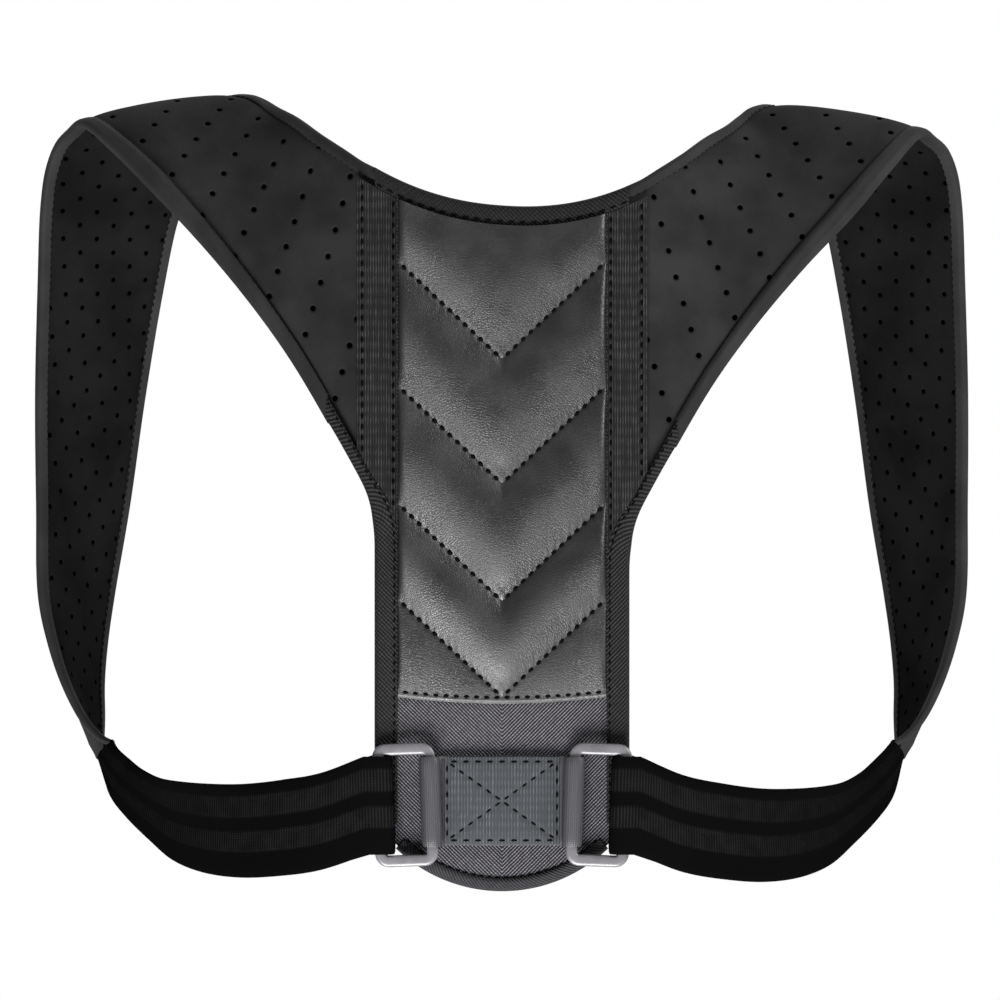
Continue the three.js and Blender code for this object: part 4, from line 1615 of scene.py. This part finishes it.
@dataclass
class BackPanel:
    """The woven panel with its round flap, its neckline binding and the piping round the flap."""

    columns: int = 60
    panel_rows: int = 120
    neck_steps: int = 80
    piping_steps: int = 90

    def build(self) -> None:
        """Makes the panel, the bindings and their stitches."""
        self.plate()
        self.neck_binding()
        self.piping()

    def plate(self) -> None:
        """Makes the panel.

        Rows run from the neckline to the flap's edge, and its half thickness is drawn in near its edge by
        the root of one minus a high power.
        """
        x = np.linspace(-FORM.core_half, FORM.core_half, self.columns)
        top, bottom = FORM.neckline(x) - FORM.bind_grow, FORM.flap_edge(x)
        share = np.linspace(0, 1, self.panel_rows)[:, None]
        z = mix(top, bottom, share)
        edge = np.maximum(np.abs(x) / FORM.core_half, np.abs(2 * share - 1))
        half = FORM.panel_thick / 2 * (0.9 + 0.1 * np.sqrt(np.clip(1 - edge**30, 0, 1)))
        across = np.broadcast_to(x, z.shape)
        faces = [np.stack([across, FORM.panel_middle - sense * half, z], axis=-1) for sense in (1, -1)]
        uv = np.stack([z, across], axis=-1)
        piece = slab_piece("twill_panel", faces[0], faces[1], uv)
        dress(piece, TWILL, "twill", "back_panel")

    def neck_binding(self) -> None:
        """Makes the folded tape over the neckline and the row of stitches along it."""
        end = FORM.core_half + 4 * FORM.gap
        x = np.linspace(-end, end, self.neck_steps)
        point = np.stack(np.broadcast_arrays(x, FORM.panel_middle, FORM.neckline(x) - FORM.bind_grow), axis=1)
        frames = Frames(point, np.tile([0.0, 0.0, -1.0], (len(x), 1)), np.tile(OUT, (len(x), 1)))
        half = FORM.panel_thick / 2
        piece = folded_tape("neckline_tape", frames, FORM.neck_top_reach, half)
        dress(piece, NECK_TAPE, "tape", "neck_binding")
        lift = half + FORM.bind_gap + FORM.bind_thick
        for face, sense in (("outer", 1), ("inner", -1)):
            line = frames.place([FORM.neck_top_reach - 1.3], [sense * lift])[:, 0]
            name, normal = f"neckline_stitches_{face}", frames.normal * sense
            stitches(name, line, normal, BLACK_THREAD, "tape", pitch=4.4, radius=0.45)

    def piping(self) -> None:
        """Makes the folded edge round the flap and the stitched groove inside it."""
        half_width = FORM.core_half - FORM.side_reach - FORM.gap
        radius = FORM.flap_radius - FORM.bind_grow
        end = math.asin(half_width / radius)
        angle = np.linspace(-end, end, self.piping_steps)
        centre = FORM.flap_radius - FORM.flap_level
        across, level = radius * np.sin(angle), centre - radius * np.cos(angle)
        point = np.stack(np.broadcast_arrays(across, FORM.panel_middle, level), axis=1)
        inward = unit(np.array([0, FORM.panel_middle, centre]) - point)
        frames = Frames(point, inward, np.tile(OUT, (len(angle), 1)))
        half, reach = FORM.panel_thick / 2, FORM.piping_reach
        piece = folded_tape("flap_edge_roll", frames, reach, half, puff=0.4, squash=0.3, rounding=2.6)
        dress(piece, PIPING, "twill", "flap_piping")
        for face, sense in (("outer", 1), ("inner", -1)):
            line = frames.place([reach + 0.5], [sense * (half + 0.05)])[:, 0]
            name, normal = f"flap_stitches_{face}", frames.normal * sense
            stitches(name, line, normal, BLACK_THREAD, "twill", pitch=3.2, radius=0.3)


@dataclass
class QuiltedPad:
    """The quilted leather pad: four sewn chevrons over puffed channels, and a sewn hem."""

    width: float = FORM.pad_width
    hem_level: float = 241.5
    hem_sag: float = 2.4
    base: float = 1.2
    puff: float = 3.4
    chevron_drop: float = 39.0
    points: tuple[float, ...] = (0.28, 0.54, 0.785, 0.985)
    hem_inset: float = 2.6
    side_ramp: float = 3.0
    bevel: float = 1.2
    softening: float = 5.0
    last_puff: float = 0.4
    stitch_pitch: float = 4.0
    pucker: float = 0.12
    hidden_top: float = 6.0
    far: float = 400.0
    columns: int = 121
    rows_each: int = 44

    @property
    def floor(self) -> float:
        """The pad's back face, forward of the seat."""
        return -FORM.back_depth - FORM.gap

    def top(self, x: Array) -> Array:
        """Height of the pad's top edge, under the neckline's tape.

        Args:
            x: places across.

        Returns:
            The heights.
        """
        return FORM.neckline(x) - FORM.bind_grow - FORM.neck_top_reach - FORM.gap

    def chevron(self, share: float, x: Array) -> Array:
        """Height of a chevron's seam.

        Args:
            share: where its point lies along the pad.
            x: places across.

        Returns:
            The heights.
        """
        middle = float(self.top(np.array(0.0)))
        length = self.hem_level + middle
        return middle - share * length + self.chevron_drop * np.abs(x) / (self.width / 2)

    def hem(self, x: Array) -> Array:
        """Height of the pad's lower edge.

        Args:
            x: places across.

        Returns:
            The heights.
        """
        return self.hem_sag * (2 * x / self.width) ** 2 - self.hem_level

    def seam_distances(self, x: Array, z: Array) -> tuple[Array, Array]:
        """Upright distances to the nearest seam above and below.

        Args:
            x: places across.
            z: heights.

        Returns:
            Both distances, at least 0.
        """
        chevrons = [self.chevron(share, x) for share in self.points]
        seams = [self.top(x) + self.hidden_top, *chevrons, self.hem(x) + self.hem_inset]
        lines = np.stack(np.broadcast_arrays(*seams))
        above = np.min(np.where(lines >= z, lines - z, self.far), axis=0)
        below = np.min(np.where(lines < z, z - lines, self.far), axis=0)
        return above, below

    def puffed(self, x: Array, z: Array) -> Array:
        """How far a channel puffs between its two seams.

        It is a sine of the share gone from one seam to the other, smaller where the channel is narrow, and
        it ends at the hem's seam.

        Args:
            x: places across.
            z: heights.

        Returns:
            Distances above the stitched thickness.
        """
        above, below = self.seam_distances(x, z)
        between = (above < self.far) & (below < self.far)
        span = np.where(between, above + below, 1.0)
        swell = np.sin(math.pi * np.clip(below / span, 0, 1)) ** 0.9
        room = np.clip(span / (self.chevron_drop * 0.85), 0, 1) ** 1.6
        last = np.where(z < self.chevron(self.points[-1], x), self.last_puff, 1.0)
        return np.where(between, self.puff * swell * room * last, 0)

    def height(self, x: Array, z: Array) -> Array:
        """How far the leather stands off the pad's floor.

        Away from the seams the puff is averaged across, which rounds the channels' bends. It falls off in
        a quarter circle at the pad's sides, is bevelled at the hem, and has a pucker at every stitch.

        Args:
            x: places across.
            z: heights.

        Returns:
            Distances from the floor.
        """
        above, below = self.seam_distances(x, z)
        near = np.minimum(above, below)
        offsets = np.linspace(-1, 1, 7) * self.softening
        soft = sum(self.puffed(x + offset, z) for offset in offsets) / len(offsets)
        rise = mix(self.puffed(x, z), soft, smoothstep(0.0, self.softening * 1.5, near))
        side = np.clip((self.width / 2 - np.abs(x)) / self.side_ramp, 0, 1)
        side = np.sqrt(1 - (1 - side) ** 2)
        slope = math.hypot(1, self.chevron_drop / (self.width / 2))
        wave = np.cos(2 * math.pi * np.abs(x) * slope / self.stitch_pitch)
        pucker = wave * np.exp(-near / 2.0) * self.pucker
        edge = np.clip((z - self.hem(x)) / self.bevel, 0, 1)
        base = self.base * mix(0.35, 1.0, edge)
        return base + rise * side + pucker * side * np.clip(near, 0, 1) * edge

    def build(self) -> None:
        """Makes the pad and its stitches."""
        half = self.width / 2
        x = half * np.sin(np.linspace(-math.pi / 2, math.pi / 2, self.columns)) * 0.15
        x = x + np.linspace(-half, half, self.columns) * 0.85
        lines = [self.top, *(lambda v, s=share: self.chevron(s, v) for share in self.points), self.hem]
        share = np.linspace(0, 1, self.rows_each + 1)
        slow = mix(share, (1 - np.cos(math.pi * share)) / 2, 0.7)
        levels = []
        for above, below in zip(lines[:-1], lines[1:]):
            upper, lower = above(x), below(x)
            part = mix(upper, lower, slow[:, None])
            levels.append(part if above is lines[0] else part[1:])
        z = np.concatenate(levels)
        across = np.broadcast_to(x, z.shape)
        tall = self.height(across, z)
        outer = np.stack([across, self.floor - tall, z], axis=-1)
        inner = np.stack([across, np.full(z.shape, self.floor), z], axis=-1)
        piece = slab_piece("leather_pad", outer, inner, np.stack([z, across], axis=-1), sharp=75)
        dress(piece, LEATHER, "leather", "chevron_pad")
        self.sew()

    def sew(self) -> None:
        """Makes the stitches along the chevrons and the hem."""
        half = self.width / 2 - 1.0
        lines = []
        for share in self.points:
            for sign in (-1, 1):
                x = np.linspace(sign * half, sign * 0.8, 60)
                lines.append(self.on_leather(x, self.chevron(share, x)))
        look = {"finish": BLACK_THREAD, "slot": "leather", "pitch": self.stitch_pitch, "lift": 0.0}
        stitches("pad_stitches", lines, [OUT] * len(lines), radius=0.95, **look)
        x = np.linspace(-half, half, 80)
        hem = self.on_leather(x, self.hem(x) + self.hem_inset)
        stitches("hem_stitches", hem, OUT, share=0.55, radius=0.7, **look)

    def on_leather(self, x: Array, z: Array) -> Array:
        """Points on the leather's face.

        Args:
            x: places across.
            z: heights.

        Returns:
            The points.
        """
        return np.stack([x, self.floor - self.height(x, z), z], axis=1)


@dataclass
class SideTrim:
    """The seam tape and the side binding on one side of the panel, with their stitches."""

    side: Side
    tape_width: float = 16.2
    tape_thick: float = 1.0
    up_steps: int = 50
    easing: int = 5

    def binding_frames(self, strap: Edges, per_row: int) -> Frames:
        """Frames up the side of the panel and out along the start of the strap's arm edge.

        They leave the plane of the panel by the square of the share gone.

        Args:
            strap: the shoulder strap's edges.
            per_row: stations for each row of the strap's tables.

        Returns:
            The frames.
        """
        sign = self.side.value
        count = 2 * per_row + 1
        arm = edge_frames(strap.arm, strap.neck, strap.seam_normals(per_row), strap.bow)
        bottom = float(FORM.flap_edge(np.array(FORM.core_half)))
        top = arm.point[0, 2]
        z = np.linspace(bottom, top - FORM.side_reach, self.up_steps)
        up = np.stack(np.broadcast_arrays(sign * FORM.core_half, FORM.panel_middle, z), axis=1)
        kept = slice(per_row // 2, count)
        share = ((np.arange(count) / (count - 1)) ** 2)[kept, None]
        out = arm.point[kept].copy()
        out[:, 1] = mix(FORM.panel_middle, out[:, 1], share[:, 0])
        inward = arm.inward[kept].copy()
        inward[:, 1] *= share[:, 0]
        normal = unit(mix(OUT, arm.normal[kept], share))
        sharp = Frames(
            np.vstack([up, out]),
            np.vstack([np.tile([-float(sign), 0, 0], (self.up_steps, 1)), inward]),
            np.vstack([np.tile(OUT, (self.up_steps, 1)), normal]),
        )
        even, _ = resampled(sharp, 1.0)
        point, inward, normal = (eased(part, self.easing) for part in (even.point, even.inward, even.normal))
        return Frames(point, unit(inward), unit(normal))

    def build(self, strap: Edges, per_row: int) -> None:
        """Makes the binding, the tape and their stitches.

        Args:
            strap: the shoulder strap's edges.
            per_row: stations for each row of the strap's tables.
        """
        label, sign = self.side.label, self.side.value
        frames, _ = resampled(self.binding_frames(strap, per_row), 2.0)
        half = FORM.panel_thick / 2
        piece = folded_tape(f"side_tape_{label}", frames, FORM.side_reach, half)
        dress(piece, TAPE, "tape", f"side_binding_{label}")
        lift = half + FORM.bind_gap + FORM.bind_thick
        for face, sense in (("outer", 1), ("inner", -1)):
            line = frames.place([FORM.side_reach - 1.2], [sense * lift])[:, 0]
            name, normal = f"side_stitches_{face}_{label}", frames.normal * sense
            stitches(name, line, normal, BLACK_THREAD, "tape", pitch=3.4, radius=0.4)
        self.seam_tape(frames, sign, label)

    def seam_tape(self, frames: Frames, sign: int, label: str) -> None:
        """Makes the tape over the seam and its two rows of stitches.

        Its lower end follows the inner edge of the binding.

        Args:
            frames: the binding's frames.
            sign: which side it is on.
            label: the side's name.
        """
        inner_x = FORM.pad_width / 2 + FORM.gap
        share = np.linspace(0, 1, 14)
        x = inner_x + self.tape_width * share
        bound = frames.point + frames.inward * FORM.side_reach
        order = np.argsort(np.abs(bound[:, 0]))
        lowest = np.interp(x, np.abs(bound[order, 0]), bound[order, 2]) + 2 * FORM.gap
        top = FORM.neckline(sign * x) - FORM.bind_grow - FORM.neck_top_reach - FORM.gap
        down = np.linspace(0, 1, 90)[:, None]
        z = mix(top, lowest, down)
        across = np.broadcast_to(sign * x, z.shape)
        floor = -FORM.back_depth - FORM.gap
        outer = np.stack(np.broadcast_arrays(across, floor - self.tape_rise(share), z), axis=-1)
        back = np.stack(np.broadcast_arrays(across, floor, z), axis=-1)
        piece = slab_piece(f"seam_cover_{label}", outer, back, np.stack([z, across], axis=-1))
        dress(piece, SEAM_TAPE, "tape", f"seam_tape_{label}")
        lines = []
        for inset in (1.6, self.tape_width - 2.2):
            place = inset / self.tape_width
            low = float(np.interp(inner_x + inset, x, lowest)) + 1.5
            high = float(np.interp(inner_x + inset, x, top)) - 1.0
            column = np.linspace(high, low, 40)
            depth = floor - self.tape_rise(np.array(place))
            lines.append(np.stack(np.broadcast_arrays(sign * (inner_x + inset), depth, column), axis=1))
        look = {"pitch": 4.2, "share": 0.6, "radius": 0.6}
        stitches(f"seam_stitches_{label}", lines, [OUT] * len(lines), BLACK_THREAD, "tape", **look)

    def tape_rise(self, share: Array) -> Array:
        """The seam tape's thickness, drawn in at its sides by the root of one minus a power.

        Args:
            share: places across it, from 0 to 1.

        Returns:
            The thicknesses.
        """
        return self.tape_thick * (0.55 + 0.45 * np.sqrt(np.clip(1 - np.abs(2 * share - 1) ** 8, 0, 1)))


@dataclass
class Hardware:
    """Both rings, the webbing loops that hold them and the patch that sews the loops down."""

    web_width: float = 35.6
    web_thick: float = 1.4
    web_lift: float = 1.4
    patch_width: float = 45.6
    patch_height: float = 35.0
    patch_thick: float = 1.2
    around: int = 22
    corner: float = 3.2
    roundness: float = 0.5

    def build(self) -> None:
        """Makes the rings, webbing and patch."""
        for side in Side:
            self.ring(side)
            self.webbing(side)
        self.patch()

    def ring(self, side: Side) -> None:
        """Makes a ring of rounded bars.

        A superellipse section is carried round a rectangle with round corners.

        Args:
            side: which ring.
        """
        bar = FORM.ring_bar
        width, height = FORM.ring_width - bar, FORM.ring_height - bar
        path, ways = rounded_loop(width / 2, height / 2, self.corner, 8, 6)
        angle = np.arange(self.around) * 2 * math.pi / self.around
        cosine, sine = np.cos(angle), np.sin(angle)
        wide = np.sign(cosine) * np.abs(cosine) ** self.roundness * bar / 2
        deep = np.sign(sine) * np.abs(sine) ** self.roundness * FORM.ring_thick / 2
        normal = np.stack([ways[:, 1], -ways[:, 0]], axis=1)
        flat = path[:, None] + normal[:, None] * wide[None, :, None]
        lean = math.radians(FORM.ring_lean) * side.value
        x = flat[..., 0] * math.cos(lean) + flat[..., 1] * math.sin(lean)
        z = -flat[..., 0] * math.sin(lean) + flat[..., 1] * math.cos(lean)
        y = np.broadcast_to(FORM.ring_plane + deep, x.shape)
        points = np.stack([x + side.value * FORM.ring_span, y, z - FORM.ring_level], axis=-1)
        piece = ring_piece(f"slide_ring_{side.label}", points)
        dress(piece, PLASTIC, "ring_plastic", f"ring_{side.label}")

    def webbing(self, side: Side) -> None:
        """Makes the folded webbing round a ring's inner bar.

        Its route is a smooth curve through a few places in the plane across the panel, leaning with the
        ring where it holds it.

        Args:
            side: which ring it holds.
        """
        gap, thick = FORM.gap, self.web_thick
        inner_edge = FORM.ring_span - FORM.ring_width / 2
        clear = gap + thick / 2
        front = FORM.ring_stand + FORM.ring_thick / 2 + clear
        behind = FORM.ring_stand - FORM.ring_thick / 2 - clear
        low, high = gap + thick / 2, 2 * gap + 1.5 * thick
        climb, tip = inner_edge - clear, inner_edge + FORM.ring_bar + clear
        route = np.array(
            [
                (gap / 2, high, 0),
                (climb - thick, high, 0),
                (climb, high + thick, 0.8),
                (climb, front - thick, 1),
                (climb + thick, front, 1),
                (tip - thick, front, 1),
                (tip, front - thick, 1),
                (tip, behind + thick, 1),
                (tip - thick, behind, 1),
                (climb, behind, 1),
                (climb - 3 * thick, low, 0),
                (gap / 2, low, 0),
            ]
        )
        smooth = catmull_rom(route, 6)
        z = np.linspace(-0.5, 0.5, 28) * self.web_width + self.web_lift - FORM.ring_level
        way = unit(np.gradient(smooth[:, :2], axis=0))
        out = np.stack([-way[:, 1], way[:, 0]], axis=1)
        edge = np.abs(np.linspace(-1, 1, 28))
        half = thick / 2 * np.sqrt(np.clip(1 - edge**14, 0.15, 1))
        faces = []
        for sense in (1, -1):
            spot = smooth[:, None, :2] + out[:, None] * (sense * half)[None, :, None]
            x = side.value * (spot[..., 0] + smooth[:, None, 2] * FORM.lean_at(z))
            y = -FORM.back_depth - spot[..., 1]
            faces.append(np.stack([x, y, np.broadcast_to(z, x.shape)], axis=-1))
        uv = np.stack(np.broadcast_arrays(z, arc_length(smooth[:, :2])[:, None]), axis=-1)
        piece = slab_piece(f"ring_loop_{side.label}", faces[0], faces[1], uv, sharp=60)
        dress(piece, LOOP, "webbing", f"anchor_webbing_{side.label}")

    def patch(self) -> None:
        """Makes the ribbed patch and its box and cross of stitches.

        The patch is a plate whose half thickness is drawn in near its edges by the root of one minus a
        high power.
        """
        share = np.linspace(-1, 1, 46)
        tall = np.linspace(-1, 1, 36)[:, None]
        x, z = np.broadcast_arrays(share * self.patch_width / 2, tall * self.patch_height / 2)
        floor = FORM.back_depth + 3 * FORM.gap + 2 * self.web_thick
        edge = np.maximum(np.abs(share), np.abs(tall))
        rise = self.patch_thick * (0.5 + 0.5 * np.sqrt(np.clip(1 - edge**16, 0, 1)))
        sewn_x, sewn_z = self.patch_width / 2 - 0.9, self.patch_height / 2 - 1.8
        cross = np.abs(np.abs(x) / sewn_x - np.abs(z) / sewn_z) * sewn_z
        box = np.minimum(np.abs(np.abs(x) - sewn_x), np.abs(np.abs(z) - sewn_z))
        rise = rise - 0.35 * np.exp(-((np.minimum(cross, box) / 1.0) ** 2))
        level = self.web_lift - FORM.ring_level
        outer = np.stack([x, -floor - rise, z + level], axis=-1)
        inner = np.stack([x, np.full(x.shape, -floor), z + level], axis=-1)
        piece = slab_piece("box_patch", outer, inner, np.stack([z, x], axis=-1))
        dress(piece, WEBBING, "webbing", "anchor_patch")
        corners = np.array([(-1, -1), (1, -1), (1, 1), (-1, 1)]) * (sewn_x, sewn_z)
        ends = [(0, 1), (1, 2), (2, 3), (3, 0), (0, 2), (3, 1)]
        face = -floor - self.patch_thick + 0.25
        lines = []
        for start, stop in ends:
            run = mix(corners[start], corners[stop], np.linspace(0.01, 0.99, 30)[:, None])
            lines.append(np.stack(np.broadcast_arrays(run[:, 0], face, run[:, 1] + level), axis=1))
        look = {"pitch": 4.4, "share": 0.55, "radius": 0.45, "lift": 0.0}
        stitches("patch_stitches", lines, [OUT] * len(lines), BLACK_THREAD, "webbing", **look)


def rounded_loop(
    half_width: float, half_height: float, corner: float, arc: int, straight: int
) -> tuple[Array, Array]:
    """Points and directions round a rectangle with round corners.

    Four quarter circles are joined by straight runs.

    Args:
        half_width: half its width.
        half_height: half its height.
        corner: the corners' radius.
        arc: points on each corner.
        straight: points on each straight run.

    Returns:
        The points, and the way along at each.
    """
    signs = np.array([(1, 1), (-1, 1), (-1, -1), (1, -1)])
    centres = signs * (half_width - corner, half_height - corner)
    angle = np.linspace(0, math.pi / 2, arc) + np.arange(4)[:, None] * math.pi / 2
    ways = np.stack([-np.sin(angle), np.cos(angle)], axis=-1)
    arcs = centres[:, None] + corner * np.stack([np.cos(angle), np.sin(angle)], axis=-1)
    share = np.linspace(0, 1, straight + 2)[1:-1, None]
    runs = mix(arcs[:, -1:], np.roll(arcs, -1, axis=0)[:, :1], share)
    run_ways = np.repeat(ways[:, -1:], straight, axis=1)
    loop, way = np.concatenate([arcs, runs], axis=1), np.concatenate([ways, run_ways], axis=1)
    return loop.reshape(-1, 2), way.reshape(-1, 2)


@dataclass
class Studio:
    """A plain pale floor, soft lights and the camera of the photograph."""

    camera_back: float = 1362.0
    camera_across: float = -0.8
    camera_level: float = -160.0
    lens: float = 117.0
    floor_level: float = -1500.0
    dim: float = 0.22
    floor_size: float = 12000.0

    def build(self) -> None:
        """Makes the floor, the lights and the camera."""
        self.camera()
        self.floor()
        self.light("key", (1700, -700, 800), (0, 0, -120), 900, 40)
        self.light("low", (-150, -1000, -1150), (0, -60, -150), 700, 38)
        self.light("top", (0, -300, 1500), (0, 0, -100), 900, 8)
        world = bpy.data.worlds.new("studio")
        world.use_nodes = True
        tree = world.node_tree
        way = add(tree, "SeparateXYZ", {0: add(tree, "TexCoord").outputs["Generated"]}).outputs["Y"]
        bright = add(
            tree,
            "MapRange",
            {"Value": way, "From Min": 0.0, "From Max": 0.6, "To Min": self.dim, "To Max": 1.0},
            interpolation_type="SMOOTHSTEP",
        )
        background = tree.nodes["Background"]
        background.inputs["Color"].default_value = (1, 1, 1, 1)
        tree.links.new(bright.outputs["Result"], background.inputs["Strength"])
        bpy.context.scene.world = world
        bpy.context.scene.view_settings.view_transform = "Standard"

    def camera(self) -> None:
        """Places the camera behind the wearer, level and square on."""
        data = bpy.data.cameras.new("camera")
        data.lens = self.lens
        data.sensor_width = 36
        data.clip_end = 100
        camera = bpy.data.objects.new("camera", data)
        camera.location = (self.camera_across * MM, -self.camera_back * MM, self.camera_level * MM)
        camera.rotation_euler = (math.pi / 2, 0, 0)
        bpy.context.collection.objects.link(camera)
        bpy.context.scene.camera = camera

    def floor(self) -> None:
        """Makes the floor."""
        half = self.floor_size / 2
        x, y = np.meshgrid([-half, half], [-half, half])
        top = np.stack([x, y, np.full(x.shape, self.floor_level)], axis=-1)
        base = top - np.array([0, 0, 20.0])
        piece = slab_piece("floor", top, base)
        material = bpy.data.materials.new("matte_white_paint")
        material.use_nodes = True
        shader = material.node_tree.nodes["Principled BSDF"]
        shader.inputs["Base Color"].default_value = srgb("fafafa")
        shader.inputs["Roughness"].default_value = 0.9
        piece.data.materials.append(material)
        piece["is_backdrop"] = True

    def light(self, name: str, place: tuple, target: tuple, size: float, power: float) -> None:
        """Adds a square soft light.

        Args:
            name: its name.
            place: where it stands.
            target: where it points.
            size: its side.
            power: its power in watts.
        """
        data = bpy.data.lights.new(name, "AREA")
        data.energy = power
        data.size = size * MM
        lamp = bpy.data.objects.new(name, data)
        lamp.location = [v * MM for v in place]
        way = np.array(target, float) - np.array(place, float)
        pitch = math.atan2(math.hypot(way[0], way[1]), -way[2])
        lamp.rotation_euler = (pitch, 0, math.atan2(way[1], way[0]) - math.pi / 2)
        bpy.context.collection.objects.link(lamp)


def corners() -> list[list[float]]:
    """The shown object's lowest and highest corners as plain lists."""
    return [list(corner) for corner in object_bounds()]


def main() -> None:
    """Builds every sub-assembly in order."""
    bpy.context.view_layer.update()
    Studio().build()
    for side in Side:
        strap = ShoulderStrap(side)
        edges = strap.build()
        SideStrap(side).build(edges)
        SideTrim(side).build(edges, strap.per_row)
    BackPanel().build()
    QuiltedPad().build()
    Hardware().build()


if __name__ == "__main__":
    main()
